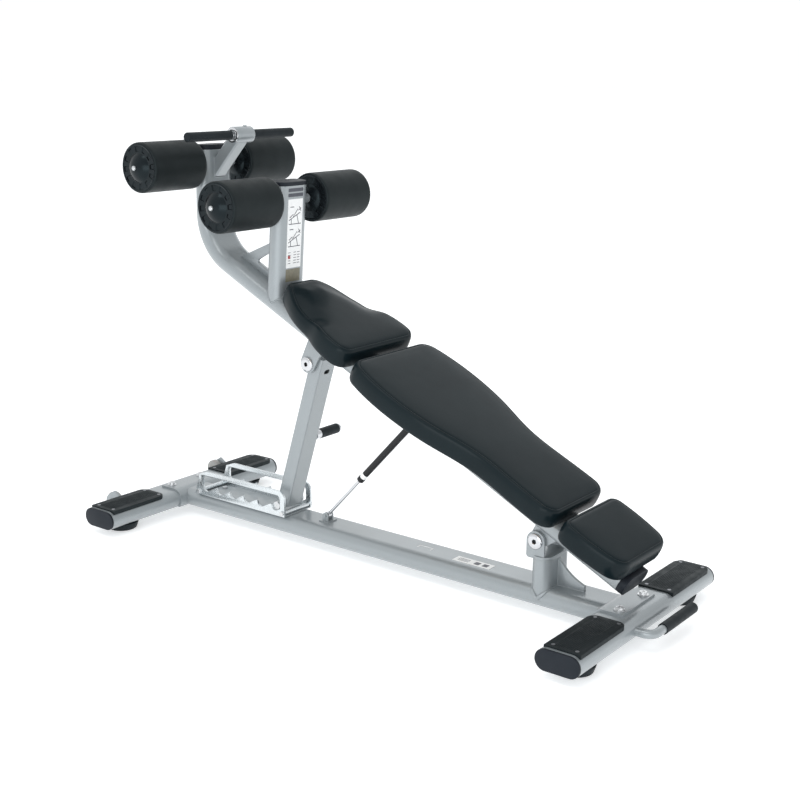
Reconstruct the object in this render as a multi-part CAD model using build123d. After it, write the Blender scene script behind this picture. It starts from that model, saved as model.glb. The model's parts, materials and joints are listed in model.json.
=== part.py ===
from build123d import *

import math
import os

# Decline sit up bench. Millimetres, +Z up, origin on the floor at the middle of the footprint.
# +X runs along the base towards the low head end, and the leg rollers are at the -X end.

# Flat oval frame tube
TUBE_WIDTH = 110.0
TUBE_DEPTH = 50.0
TUBE_WALL = 3.0
HALF_WIDTH = TUBE_WIDTH / 2
HALF_DEPTH = TUBE_DEPTH / 2

# Base
FOOT_HEIGHT = 20.0
BASE_Z = FOOT_HEIGHT + HALF_DEPTH
BASE_TOP = FOOT_HEIGHT + TUBE_DEPTH
STABILIZER_X = 720.0
STABILIZER_HALF = 328.0
CAP_THICKNESS = 6.0
CAP_PLUG = 14.0
SADDLE_THICKNESS = 5.0
SADDLE_HALF = 78.0
SADDLE_REACH = 19.0
SADDLE_BOLT_Y = 57.0
FOOT_Y = 245.0
TREAD_WIDTH = 90.0
TREAD_TOP = BASE_TOP + 4.0
TREAD_SHIFT = 4.5
FRONT_TREAD = (111.0, 315.0)
REAR_TREAD = (127.0, 316.0)

# Bench linkage, all axes along Y
PIVOT_X, PIVOT_Z = 491.5, 183.0
HINGE_X, HINGE_Z = -216.5, 500.0
FOOT_PIN_X, FOOT_PIN_Z = -321.5, 95.0
GAS_LOW_X, GAS_LOW_Z = -181.5, 86.0
GAS_HIGH_X, GAS_HIGH_Z = 98.5, 389.0
RUNNING = 0.05

# Bench beam
BEAM_ANGLE = 26.43
BEAM_Z_AT_ORIGIN = 485.2
BEAM_END_S = 793.0
BEAM_BEND_RADIUS = 145.0
UPPER_MAST_X = -580.5
UPPER_MAST_TOP = 1030.0
LOWER_MAST_X = -309.0
LOWER_MAST_TOP = 952.0
LOWER_MAST_LEAN = 3.6
MAST_CAP = 13.0
LOW_CAP = 18.0

# Pads, measured from the beam axis
PLATE_THICKNESS = 4.0
PAD_LOW = HALF_DEPTH + PLATE_THICKNESS
PAD_HIGH = 80.0
BOARD_THICKNESS = 12.0
BOARD_INSET = 14.0

# Rollers
ROLLER_RADIUS = 64.0
ROLLER_INNER_Y = 83.0
ROLLER_OUTER_Y = 262.0
UPPER_ROLLER_Z = 993.5
LOWER_ROLLER_Z = 912.5
SHAFT_RADIUS = 10.0
BOSS_RADIUS = 12.5

# Ratchet ladder
LADDER_LOW_X, LADDER_HIGH_X = -625.5, -287.5
LADDER_TOP = 141.0
PLATE_INNER_Y, PLATE_OUTER_Y = 50.0, 56.0
NOTCHES = 6
NOTCH_PITCH = 51.6
NOTCH_RADIUS = 12.0
TOOTH_TIP_Z = 100.0
TOOTH_SETBACK = 15.0
SLOT_TOP = 128.0
TRAY_THICKNESS = 3.0

# Transport wheels
WHEEL_X, WHEEL_Y, WHEEL_Z = -802.5, 198.0, 48.0
WHEEL_RADIUS = 25.0
WHEEL_HALF = 8.0

# Carry handle
HANDLE_X, HANDLE_Z = 814.5, 46.0
HANDLE_GRIP_RADIUS = 13.0

# Directions in the beam's own frame: s runs down the beam, h is its upward normal
ANGLE = math.radians(BEAM_ANGLE)
beam_frame = Plane(
    origin=(0, 0, BEAM_Z_AT_ORIGIN),
    x_dir=(math.cos(ANGLE), 0, -math.sin(ANGLE)),
    z_dir=(math.sin(ANGLE), 0, math.cos(ANGLE)),
)


def to_beam(x, z):
    """Beam coordinates (s, h) of a point in the bench's middle plane."""
    point = beam_frame.to_local_coords(Vector(x, 0, z))
    return point.X, point.Z


def save(name, *shapes):
    """Write one named sub-part, which may be several separate solids."""
    solids = [solid for shape in shapes for solid in shape.solids()]
    export_step(Compound(children=solids), f"parts/{name}.step")


def oval(width=TUBE_WIDTH, depth=TUBE_DEPTH):
    return SlotOverall(width, depth)


def bar_y(radius, low, high, x=0.0, z=0.0):
    """Round bar along Y between two y values."""
    return Pos(x, (low + high) / 2, z) * Rot(90, 0, 0) * Cylinder(radius, high - low)


def block(low, high):
    """Box from its lowest corner to its highest."""
    size = [b - a for a, b in zip(low, high)]
    centre = [(a + b) / 2 for a, b in zip(low, high)]
    return Pos(*centre) * Box(*size)


def slab_xz(sketch, low, high):
    """Flat plate whose outline is drawn in X and Z, between two y values."""
    raised = Pos(0, high, 0) * (Plane.XZ * sketch)
    return extrude(raised, amount=high - low)


def both_sides(shape):
    return [shape, mirror(shape, Plane.XZ)]


def ovals_along(path_plane, length, grow=0.0):
    """Solid flat oval starting at a plane and running along its normal."""
    section = path_plane * oval(TUBE_WIDTH + 2 * grow, TUBE_DEPTH + 2 * grow)
    return extrude(section, amount=length)


# ---- Base tubes ----

def stabilizer_solid(x, half, grow=0.0):
    plane = Plane(origin=(x, half, BASE_Z), x_dir=(1, 0, 0), z_dir=(0, -1, 0))
    return ovals_along(plane, 2 * half, grow)


def stabilizer(x):
    half = STABILIZER_HALF - CAP_THICKNESS
    tube = stabilizer_solid(x, half)
    return tube - stabilizer_solid(x, half, -TUBE_WALL)


def end_caps(x):
    """Two moulded caps, each a face plate with a plug inside the tube."""
    half = STABILIZER_HALF - CAP_THICKNESS
    outer = stabilizer_solid(x, STABILIZER_HALF)
    inner = stabilizer_solid(x, half, -TUBE_WALL)
    plug_end = half - CAP_PLUG
    face = outer & block((x - 100, half, 0), (x + 100, STABILIZER_HALF, 100))
    plug = inner & block((x - 100, plug_end, 0), (x + 100, half, 100))
    return both_sides(face + plug)


def base_beam_solid(grow=0.0):
    plane = Plane(origin=(-STABILIZER_X, 0, BASE_Z), x_dir=(0, 1, 0), z_dir=(1, 0, 0))
    return ovals_along(plane, 2 * STABILIZER_X, grow)


def saddle(x):
    """Curved plate that wraps the inner side and the top of a stabilizer."""
    inward = -math.copysign(1, x)
    edge = x - inward * SADDLE_REACH
    far = x + inward * 80
    wrap = stabilizer_solid(x, SADDLE_HALF, SADDLE_THICKNESS) - stabilizer_solid(x, SADDLE_HALF + 1)
    keep = block((min(edge, far), -100, 24), (max(edge, far), 100, 100))
    holes = [Pos(x, side * SADDLE_BOLT_Y, BASE_TOP) * Cylinder(5, 40) for side in (-1, 1)]
    return (wrap & keep) - holes


front_saddle = saddle(STABILIZER_X)
rear_saddle = saddle(-STABILIZER_X)
front_wrap = stabilizer_solid(STABILIZER_X, 200, SADDLE_THICKNESS)
rear_wrap = stabilizer_solid(-STABILIZER_X, 200, SADDLE_THICKNESS)
base_solid = base_beam_solid() - front_wrap - rear_wrap
base_beam = base_solid - base_beam_solid(-TUBE_WALL)


def saddle_bolt(x, y):
    """Washer, domed head and shank that ends inside the stabilizer."""
    top = BASE_TOP + SADDLE_THICKNESS
    washer = Pos(x, y, top + 1) * Cylinder(13, 2)
    head = Pos(x, y, top + 5) * Cylinder(9, 6)
    socket = Pos(x, y, top + 7) * extrude(RegularPolygon(4.2, 6), amount=4)
    shank = Pos(x, y, top - 12) * Cylinder(5, 24)
    return washer + head + shank - socket


def drill_stabilizer(tube, x):
    for side in (-1, 1):
        tube = tube - Pos(x, side * SADDLE_BOLT_Y, BASE_TOP) * Cylinder(5, 30)
    return tube


front_stabilizer = drill_stabilizer(stabilizer(STABILIZER_X), STABILIZER_X)
rear_stabilizer = drill_stabilizer(stabilizer(-STABILIZER_X), -STABILIZER_X)

save("front_saddle", front_saddle)
save("rear_saddle", rear_saddle)
save("front_stabilizer", front_stabilizer)
save("rear_stabilizer", rear_stabilizer)
save("stabilizer_end_caps", *end_caps(STABILIZER_X), *end_caps(-STABILIZER_X))


# ---- Feet, tread pads and their screws ----

def rubber_foot(x, y):
    return Pos(x, y, FOOT_HEIGHT / 2) * Cone(38, 45, FOOT_HEIGHT)


def screw_places(x, span):
    """The four corner screws of one tread pad."""
    inset = 12.0
    places = []
    for dx in (-TREAD_WIDTH / 2 + inset + 4, TREAD_WIDTH / 2 - inset - 4):
        for y in (span[0] + inset, span[1] - inset):
            places.append((x + TREAD_SHIFT + dx, y))
    return places


def tread_screw(x, y):
    """Pan head in the pad's face, with a shank down to the tube."""
    head = Pos(x, y, TREAD_TOP - 0.5) * Cylinder(4.5, 2)
    shank_length = TREAD_TOP - BASE_TOP - 0.5
    return head + Pos(x, y, BASE_TOP + shank_length / 2) * Cylinder(2.5, shank_length)


def tread_pad(x, span):
    """Ribbed pad over the tube's flat and rounded top, with two round corners at its +Y end."""
    low, high = span
    middle = x + TREAD_SHIFT
    body = block((middle - TREAD_WIDTH / 2, low, 64), (middle + TREAD_WIDTH / 2, high, TREAD_TOP))
    body = fillet(body.edges().filter_by(Axis.Z).group_by(Axis.Y)[-1], 22)
    body = body - stabilizer_solid(x, STABILIZER_HALF + 10)
    for place_x, place_y in screw_places(x, span):
        body = body - tread_screw(place_x, place_y)
    return body


screws = []
for name, stand_x, (low_y, high_y) in (
    ("front_tread_pads", STABILIZER_X, FRONT_TREAD),
    ("rear_tread_pads", -STABILIZER_X, REAR_TREAD),
):
    spans = [(low_y, high_y), (-high_y, -low_y)]
    save(name, *[tread_pad(stand_x, span) for span in spans])
    screws += [tread_screw(*place) for span in spans for place in screw_places(stand_x, span)]
feet = [rubber_foot(sx * STABILIZER_X, sy * FOOT_Y) for sx in (-1, 1) for sy in (-1, 1)]
save("tread_screws", *screws)
save("rubber_feet", *feet)


# ---- Carry handle at the head end ----

HANDLE_BEND = 24.0
HANDLE_START_Y = -78.0
GRIP_LOW_Y, GRIP_HIGH_Y = -30.0, 128.0
handle_path = FilletPolyline(
    (STABILIZER_X + 40, HANDLE_START_Y, HANDLE_Z),
    (HANDLE_X, HANDLE_START_Y, HANDLE_Z),
    (HANDLE_X, GRIP_HIGH_Y - 8, HANDLE_Z),
    radius=HANDLE_BEND,
)
handle_section = Plane(handle_path @ 0, z_dir=handle_path % 0) * Circle(10.5)
carry_handle = sweep(handle_section, handle_path) - stabilizer_solid(STABILIZER_X, 200)
handle_grip = bar_y(HANDLE_GRIP_RADIUS, GRIP_LOW_Y, GRIP_HIGH_Y, HANDLE_X, HANDLE_Z)
handle_grip = fillet(handle_grip.edges().group_by(Axis.Y)[-1], 6)
handle_grip = handle_grip - bar_y(10.5, GRIP_LOW_Y - 1, GRIP_HIGH_Y - 8, HANDLE_X, HANDLE_Z)
save("carry_handle", carry_handle)
save("carry_handle_grip", handle_grip)


# ---- Transport wheels ----

EAR_GAP = 0.6
EAR_THICKNESS = 6.0
FIN_TOP = 82.0


def wheel_ear():
    """Fin shaped plate, welded to the back of the rear stabilizer, that carries one wheel."""
    low = WHEEL_Y + WHEEL_HALF + EAR_GAP
    root_x = -STABILIZER_X - HALF_WIDTH + 12
    fin = Polyline((root_x, 28), (root_x, 66), (WHEEL_X + 14, FIN_TOP), close=True)
    outline = make_hull((Pos(WHEEL_X, WHEEL_Z) * Circle(21)).edges() + fin.edges())
    ear = slab_xz(outline, low, low + EAR_THICKNESS) - stabilizer_solid(-STABILIZER_X, 300)
    return ear - bar_y(5, 0, 300, WHEEL_X, WHEEL_Z)


def wheel_axle():
    """Shouldered bolt through the wheel into the fin, with a nut outside it."""
    outside = WHEEL_Y + WHEEL_HALF + EAR_GAP + EAR_THICKNESS
    inside = WHEEL_Y - WHEEL_HALF - EAR_GAP
    pin = bar_y(5, inside, outside, WHEEL_X, WHEEL_Z)
    head = bar_y(8, inside - 3, inside, WHEEL_X, WHEEL_Z)
    nut = bar_y(8, outside, outside + 4, WHEEL_X, WHEEL_Z)
    return pin + head + nut


def transport_wheel():
    wheel = bar_y(WHEEL_RADIUS, WHEEL_Y - WHEEL_HALF, WHEEL_Y + WHEEL_HALF, WHEEL_X, WHEEL_Z)
    wheel = fillet(wheel.edges(), 2.5)
    return wheel - bar_y(5 + RUNNING, 0, 300, WHEEL_X, WHEEL_Z)


left_wheel, right_wheel = both_sides(transport_wheel())
save("wheel_brackets", *both_sides(wheel_ear()))
save("wheel_axles", *both_sides(wheel_axle()))
save("transport_wheel_left", left_wheel)
save("transport_wheel_right", right_wheel)


# ---- Front post, yoke and bench pivot ----

POST_X = 504.0
POST_TOP = 140.0
YOKE_PLATE = 8.0
YOKE_RADIUS = 24.0
YOKE_OUTER_Y = 50.0
YOKE_INNER_Y = 42.0
AXLE_RADIUS = 10.0

post_plane = Plane(origin=(POST_X, 0, BASE_Z), x_dir=(0, 1, 0), z_dir=(0, 0, 1))
front_post = ovals_along(post_plane, POST_TOP - BASE_Z)
front_post = front_post - ovals_along(post_plane, POST_TOP - BASE_Z, -TUBE_WALL) - base_beam_solid()

ear_outline = Pos(PIVOT_X, PIVOT_Z) * Circle(YOKE_RADIUS)
ear_outline += Pos(PIVOT_X, (PIVOT_Z + POST_TOP) / 2) * Rectangle(2 * YOKE_RADIUS, PIVOT_Z - POST_TOP)
yoke_ear = slab_xz(ear_outline, YOKE_INNER_Y, YOKE_OUTER_Y)
yoke_floor = block(
    (PIVOT_X - YOKE_RADIUS, -YOKE_OUTER_Y, POST_TOP),
    (PIVOT_X + YOKE_RADIUS, YOKE_OUTER_Y, POST_TOP + YOKE_PLATE),
)
post_lid = extrude(post_plane * oval(), amount=POST_TOP - BASE_Z + YOKE_PLATE)
post_lid = post_lid & block((POST_X - 30, -60, POST_TOP), (POST_X + 30, 60, POST_TOP + YOKE_PLATE))
yoke_body = yoke_floor + both_sides(yoke_ear)
yoke_body = fillet(yoke_body.edges().filter_by(Axis.Y).group_by(Axis.Z)[0], 7)
pivot_yoke = yoke_body + post_lid - bar_y(AXLE_RADIUS, -60, 60, PIVOT_X, PIVOT_Z)


def bolt_cap(radius, y, depth, x, z):
    """Domed cap with a hexagon socket on the end of a pivot bolt, on the -Y side."""
    cap = bar_y(radius, y - depth, y, x, z)
    cap = fillet(cap.edges().group_by(Axis.Y)[0], depth * 0.45)
    return cap - slab_xz(Pos(x, z) * RegularPolygon(4.5, 6), y - depth - 1, y - depth + 4)


pivot_axle = bar_y(AXLE_RADIUS, -YOKE_OUTER_Y, YOKE_OUTER_Y, PIVOT_X, PIVOT_Z)
pivot_caps = both_sides(bolt_cap(19.5, -YOKE_OUTER_Y, 7, PIVOT_X, PIVOT_Z))

GUSSET_HALF = 4.0
gusset_foot = (POST_X + HALF_DEPTH, BASE_TOP)
gusset_top = (POST_X + HALF_DEPTH, POST_TOP - 2)
gusset_end = (POST_X + HALF_DEPTH + 71, BASE_TOP)
gusset_nose = (POST_X + HALF_DEPTH + 71, BASE_TOP + 14)
gusset_face = make_face(
    [
        Line(gusset_foot, gusset_top),
        ThreePointArc(gusset_top, (POST_X + HALF_DEPTH + 34, BASE_TOP + 33), gusset_nose),
        Line(gusset_nose, gusset_end),
        Line(gusset_end, gusset_foot),
    ]
)
post_gusset = slab_xz(gusset_face, -GUSSET_HALF, GUSSET_HALF)
save("front_post", front_post)
save("pivot_yoke", pivot_yoke)
save("pivot_axle", pivot_axle)
save("pivot_caps", *pivot_caps)
save("post_gusset", post_gusset)


# ---- Ratchet ladder ----

def notch_space(x):
    """Round notch with a steep wall on its -X side and a ramp on its +X side."""
    run = NOTCH_PITCH - TOOTH_SETBACK
    rise = TOOTH_TIP_Z - FOOT_PIN_Z
    ramp = math.asin(NOTCH_RADIUS / math.hypot(run, rise)) + math.atan2(rise, run)
    ramp_foot = (x + NOTCH_RADIUS * math.sin(ramp), FOOT_PIN_Z - NOTCH_RADIUS * math.cos(ramp))
    wedge = Polyline(
        (x - NOTCH_RADIUS, FOOT_PIN_Z),
        (x - TOOTH_SETBACK, TOOTH_TIP_Z),
        (x + run, TOOTH_TIP_Z),
        ramp_foot,
        (x, FOOT_PIN_Z),
        close=True,
    )
    return make_face(wedge) + Pos(x, FOOT_PIN_Z) * Circle(NOTCH_RADIUS)


def ladder_slot():
    low = FOOT_PIN_X - NOTCH_PITCH * (NOTCHES - 1) - TOOTH_SETBACK
    high = FOOT_PIN_X + 18.0
    middle = Pos((low + high) / 2, (TOOTH_TIP_Z + SLOT_TOP) / 2)
    slot = middle * RectangleRounded(high - low, SLOT_TOP - TOOTH_TIP_Z, 11)
    slot += middle * Pos(0, -7) * Rectangle(high - low, 14)
    for index in range(NOTCHES):
        slot += notch_space(FOOT_PIN_X - NOTCH_PITCH * index)
    return slot & (middle * Rectangle(high - low, 100))


plate_outline = make_face(
    Polyline(
        (LADDER_LOW_X, BASE_TOP),
        (LADDER_LOW_X + 19, 130),
        (LADDER_LOW_X + 48, LADDER_TOP),
        (LADDER_HIGH_X, LADDER_TOP),
        (LADDER_HIGH_X, BASE_TOP),
        close=True,
    )
)
top_right = plate_outline.vertices().sort_by(Axis.X)[-2:].sort_by(Axis.Y)[-1]
plate_outline = fillet(top_right, 22)
CROSS_BAR_Z = BASE_TOP + TRAY_THICKNESS + 6.0
CROSS_BARS_X = (LADDER_LOW_X + 14, LADDER_HIGH_X - 8)
ladder_plate = slab_xz(plate_outline - ladder_slot(), PLATE_INNER_Y, PLATE_OUTER_Y)
for bar_x in CROSS_BARS_X:
    ladder_plate = ladder_plate - bar_y(3.5, 40, 60, bar_x, CROSS_BAR_Z)
left_plate, right_plate = both_sides(ladder_plate)

tray = block(
    (LADDER_LOW_X, -PLATE_INNER_Y, BASE_TOP),
    (LADDER_HIGH_X, PLATE_INNER_Y, BASE_TOP + TRAY_THICKNESS),
)
TRAY_BOLT_PLACES = [(LADDER_LOW_X + 40, side * 22.0) for side in (-1, 1)]


def tray_bolt(x, y):
    top = BASE_TOP + TRAY_THICKNESS
    return Pos(x, y, top + 2) * Cylinder(7, 4) + Pos(x, y, top - 6) * Cylinder(3.5, 12)


cross_bars = []
ladder_bolts = []
for bar_x in CROSS_BARS_X:
    rod = bar_y(6, -PLATE_INNER_Y, PLATE_INNER_Y, bar_x, CROSS_BAR_Z)
    bolt = bar_y(3.5, PLATE_INNER_Y - 12, PLATE_OUTER_Y, bar_x, CROSS_BAR_Z)
    bolt += bar_y(6.5, PLATE_OUTER_Y, PLATE_OUTER_Y + 4.5, bar_x, CROSS_BAR_Z)
    for one in both_sides(bolt):
        rod = rod - one
        ladder_bolts.append(one)
    cross_bars.append(rod)
for bolt_x, bolt_y in TRAY_BOLT_PLACES:
    one = tray_bolt(bolt_x, bolt_y)
    tray = tray - one
    base_beam = base_beam - one
    ladder_bolts.append(one)

saddle_bolts = [saddle_bolt(sx * STABILIZER_X, sy * SADDLE_BOLT_Y) for sx in (-1, 1) for sy in (-1, 1)]
save("base_beam", base_beam)
save("ladder_tray", tray)
save("ladder_plate_left", left_plate)
save("ladder_plate_right", right_plate)
save("ladder_cross_bars", *cross_bars)
save("frame_bolts", *ladder_bolts, *saddle_bolts)


# ---- Bench beam with its J bend, masts and caps ----

def beam_plane(s):
    """Section plane across the beam at distance s, looking up the slope."""
    return Plane(origin=beam_frame.from_local_coords((s, 0, 0)), x_dir=(0, 1, 0), z_dir=-beam_frame.x_dir)


corner_z = BEAM_Z_AT_ORIGIN - math.tan(ANGLE) * UPPER_MAST_X
beam_path = FilletPolyline(
    beam_frame.from_local_coords((BEAM_END_S, 0, 0)),
    (UPPER_MAST_X, 0, corner_z),
    (UPPER_MAST_X, 0, UPPER_MAST_TOP),
    radius=BEAM_BEND_RADIUS,
)


def beam_solid(grow=0.0):
    section = beam_plane(BEAM_END_S) * oval(TUBE_WIDTH + 2 * grow, TUBE_DEPTH + 2 * grow)
    return sweep(section, beam_path)


beam_outer = beam_solid()
upper_bore = bar_y(BOSS_RADIUS, -80, 80, UPPER_MAST_X, UPPER_ROLLER_Z)
bench_beam = beam_outer - beam_solid(-TUBE_WALL) - upper_bore

lean = math.radians(LOWER_MAST_LEAN)
mast_axis = Vector(math.sin(lean), 0, math.cos(lean))
mast_top = Vector(LOWER_MAST_X, 0, LOWER_MAST_TOP)
MAST_LENGTH = 330.0
mast_base = mast_top - mast_axis * MAST_LENGTH
mast_plane = Plane(origin=mast_base, x_dir=(0, 1, 0), z_dir=mast_axis)
lower_roller_x = LOWER_MAST_X - (LOWER_MAST_TOP - LOWER_ROLLER_Z) * math.tan(lean)
mast_outer = ovals_along(mast_plane, MAST_LENGTH)
lower_bore = bar_y(BOSS_RADIUS, -80, 80, lower_roller_x, LOWER_ROLLER_Z)
mast_above_beam = mast_outer - ovals_along(mast_plane, MAST_LENGTH, -TUBE_WALL) - lower_bore - beam_outer
lower_mast = mast_above_beam.solids().sort_by(Axis.Z)[-1]


def tube_cap(plane, depth):
    """Moulded cap on a tube end: the plane is at the end, facing out of the tube."""
    shell = ovals_along(plane, depth)
    plug_plane = plane.offset(-CAP_PLUG)
    bore = oval(TUBE_WIDTH - 2 * TUBE_WALL, TUBE_DEPTH - 2 * TUBE_WALL)
    return shell + extrude(plug_plane * bore, amount=CAP_PLUG)


low_end = Plane(
    origin=beam_frame.from_local_coords((BEAM_END_S, 0, 0)),
    x_dir=(0, 1, 0),
    z_dir=beam_frame.x_dir,
)
upper_end = Plane(origin=(UPPER_MAST_X, 0, UPPER_MAST_TOP), x_dir=(0, 1, 0), z_dir=(0, 0, 1))
mast_end = Plane(origin=mast_top, x_dir=(0, 1, 0), z_dir=mast_axis)
save("bench_beam", bench_beam)
save("lower_mast", lower_mast)
beam_end_caps = [tube_cap(low_end, LOW_CAP), tube_cap(upper_end, MAST_CAP), tube_cap(mast_end, MAST_CAP - 3)]
save("beam_end_caps", *beam_end_caps)

mast_gusset_face = make_face(Polyline((-482, 750), (-340, 811), (-330, 670), close=True))
mast_hole = make_face(Polyline((-425, 744), (-356, 781), (-354, 706), close=True))
mast_hole = fillet(mast_hole.vertices(), 6)
mast_gusset = slab_xz(mast_gusset_face - mast_hole, -GUSSET_HALF, GUSSET_HALF) - beam_outer - mast_outer
mast_gusset = mast_gusset.solids().sort_by(lambda solid: solid.volume)[-1]
save("mast_gusset", mast_gusset)


# ---- Top hand grip ----

BAR_X, BAR_Z = -474.5, 1071.0
BAR_HALF = 185.0
COLLAR_RADIUS = 21.5
COLLAR_HALF = 31.0
ARM_ANGLE = 47.5
arm_direction = Vector(math.cos(math.radians(ARM_ANGLE)), 0, math.sin(math.radians(ARM_ANGLE)))
arm_plane = Plane(
    origin=Vector(BAR_X, 0, BAR_Z) - arm_direction * 135,
    x_dir=(0, 1, 0),
    z_dir=arm_direction,
)
arm_outer = extrude(arm_plane * RectangleRounded(40, 35, 5), amount=135)
arm_inner = extrude(arm_plane * RectangleRounded(34, 29, 3), amount=135)
collar_outer = bar_y(COLLAR_RADIUS, -COLLAR_HALF, COLLAR_HALF, BAR_X, BAR_Z)
grip_arm = arm_outer - arm_inner - beam_outer - collar_outer
grip_arm = grip_arm.solids().sort_by(Axis.Z)[-1]
set_screw = Pos(BAR_X, 14, BAR_Z + 16) * Cylinder(5, 16)
bar_collar = collar_outer - bar_y(10, -60, 60, BAR_X, BAR_Z) - set_screw
grip_bar = bar_y(10, -BAR_HALF, BAR_HALF, BAR_X, BAR_Z) - set_screw
bar_grip = bar_y(12.3, 41, BAR_HALF + 12, BAR_X, BAR_Z)
bar_grip = fillet(bar_grip.edges().group_by(Axis.Y)[-1], 5) - bar_y(10, 30, BAR_HALF, BAR_X, BAR_Z)
save("grip_arm", grip_arm)
save("bar_collar", bar_collar, set_screw)
save("grip_bar", grip_bar)
save("bar_grips", *both_sides(bar_grip))


# ---- Rollers on their shafts ----

HUB_FACE = 5.0
HUB_RADIUS = 55.0
DOME_RADIUS = 37.0
OUTER_DOME = 15.0
INNER_DOME = 11.0
BOSS_END_Y = ROLLER_INNER_Y - INNER_DOME - 0.7


def dome(x, z, y, height):
    """Spherical cap of a roller hub that rises by a signed height from the plane at y."""
    rise = abs(height)
    ball_radius = (DOME_RADIUS**2 + rise**2) / (2 * rise)
    side = math.copysign(1, height)
    ball = Pos(x, y + side * (rise - ball_radius), z) * Sphere(ball_radius)
    ends = (y, y + side * (rise + 1))
    return ball & bar_y(DOME_RADIUS + 1, min(ends), max(ends), x, z)


def roller_shaft(x, z):
    """Stepped shaft through the mast, with a small retaining bolt at each end."""
    shaft = bar_y(BOSS_RADIUS, -BOSS_END_Y, BOSS_END_Y, x, z)
    shaft += bar_y(SHAFT_RADIUS, -ROLLER_OUTER_Y + 4, ROLLER_OUTER_Y - 4, x, z)
    end_y = ROLLER_OUTER_Y + OUTER_DOME
    shaft += bar_y(4, -end_y - 2, end_y + 2, x, z)
    for one in both_sides(bar_y(6, end_y + 0.5, end_y + 3.5, x, z)):
        shaft += one
    return shaft


def roller_core(x, z):
    """Spool that carries the foam: two end discs, a tube and an outer dome."""
    core = bar_y(22, ROLLER_INNER_Y, ROLLER_OUTER_Y, x, z)
    core += bar_y(HUB_RADIUS, ROLLER_INNER_Y, ROLLER_INNER_Y + HUB_FACE, x, z)
    core += bar_y(HUB_RADIUS, ROLLER_OUTER_Y - HUB_FACE, ROLLER_OUTER_Y, x, z)
    core += dome(x, z, ROLLER_OUTER_Y, OUTER_DOME) + dome(x, z, ROLLER_INNER_Y, -INNER_DOME)
    core = core - bar_y(SHAFT_RADIUS + RUNNING, 0, ROLLER_OUTER_Y - 3, x, z)
    return core - bar_y(4.6, 0, ROLLER_OUTER_Y + 20, x, z)


def roller_foam(x, z):
    foam = bar_y(ROLLER_RADIUS, ROLLER_INNER_Y, ROLLER_OUTER_Y, x, z)
    foam = fillet(foam.edges(), 7)
    spool = bar_y(22, 0, 300, x, z)
    spool += bar_y(HUB_RADIUS, ROLLER_INNER_Y, ROLLER_INNER_Y + HUB_FACE, x, z)
    spool += bar_y(HUB_RADIUS, ROLLER_OUTER_Y - HUB_FACE, ROLLER_OUTER_Y, x, z)
    return foam - spool


ROLLER_AXES = {"upper": (UPPER_MAST_X, UPPER_ROLLER_Z), "lower": (lower_roller_x, LOWER_ROLLER_Z)}
save("roller_shafts", *[roller_shaft(*place) for place in ROLLER_AXES.values()])
for level, place in ROLLER_AXES.items():
    cores = both_sides(roller_core(*place))
    foams = both_sides(roller_foam(*place))
    for side, core, foam in zip(("left", "right"), cores, foams):
        save(f"roller_core_{level}_{side}", core)
        save(f"roller_foam_{level}_{side}", foam)


# ---- Brackets under the bench beam ----

def hull_plate(s, h, radius, low_s, high_s, low_y, high_y):
    """Plate with a round end at (s, h) that widens up to the beam's underside."""
    top = -HALF_DEPTH + 20
    outline = make_hull((Pos(s, h) * Circle(radius)).edges() + Polyline(
        (low_s, top), (high_s, top), (high_s, top - 14), (low_s, top - 14), close=True).edges())
    plate = extrude(Pos(0, high_y, 0) * (Plane.XZ * outline), amount=high_y - low_y)
    return beam_frame.location * plate - beam_outer


pivot_s, pivot_h = to_beam(PIVOT_X, PIVOT_Z)
hinge_s, hinge_h = to_beam(HINGE_X, HINGE_Z)
gas_s, gas_h = to_beam(GAS_HIGH_X, GAS_HIGH_Z)
BRACKET_OUTER_Y = YOKE_INNER_Y - 1.0

cheek = hull_plate(pivot_s, pivot_h, 22, pivot_s - 22, pivot_s + 42, BRACKET_OUTER_Y - 8, BRACKET_OUTER_Y)
pivot_tube = bar_y(17, -BRACKET_OUTER_Y, BRACKET_OUTER_Y, PIVOT_X, PIVOT_Z)
pivot_bracket = pivot_tube + both_sides(cheek)
pivot_bracket = pivot_bracket - bar_y(AXLE_RADIUS + RUNNING, -60, 60, PIVOT_X, PIVOT_Z)

STRUT_WIDTH = 60.0
STRUT_DEPTH = 40.0
STRUT_TILT = math.atan(0.30)
HINGE_RADIUS = 8.0
FOOT_CORE = 8.0
EAR_INNER_Y = STRUT_WIDTH / 2 + 1.0
EAR_OUTER_Y = EAR_INNER_Y + 8.0
hinge_ear = hull_plate(hinge_s, hinge_h, 24, hinge_s - 26, hinge_s + 26, EAR_INNER_Y, EAR_OUTER_Y)
hinge_ear = hinge_ear - bar_y(HINGE_RADIUS, 0, 60, HINGE_X, HINGE_Z)
hinge_bolt = bar_y(HINGE_RADIUS, -EAR_OUTER_Y, EAR_OUTER_Y, HINGE_X, HINGE_Z)
for cap_end in both_sides(bolt_cap(19.5, -EAR_OUTER_Y, 7, HINGE_X, HINGE_Z)):
    hinge_bolt += cap_end

GAS_PIN = 5.0
gas_ear = hull_plate(gas_s, gas_h, 11, gas_s - 18, gas_s + 18, 9.6, 13.6)
gas_ear = gas_ear - bar_y(GAS_PIN, 0, 30, GAS_HIGH_X, GAS_HIGH_Z)
gas_upper_pin = bar_y(GAS_PIN, -16, 16, GAS_HIGH_X, GAS_HIGH_Z)
save("pivot_bracket", pivot_bracket)
save("strut_bracket", *both_sides(hinge_ear))
save("strut_hinge_bolt", hinge_bolt)
save("gas_upper_bracket", *both_sides(gas_ear), gas_upper_pin)


# ---- Strut with its foot pin and lift handle ----

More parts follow.
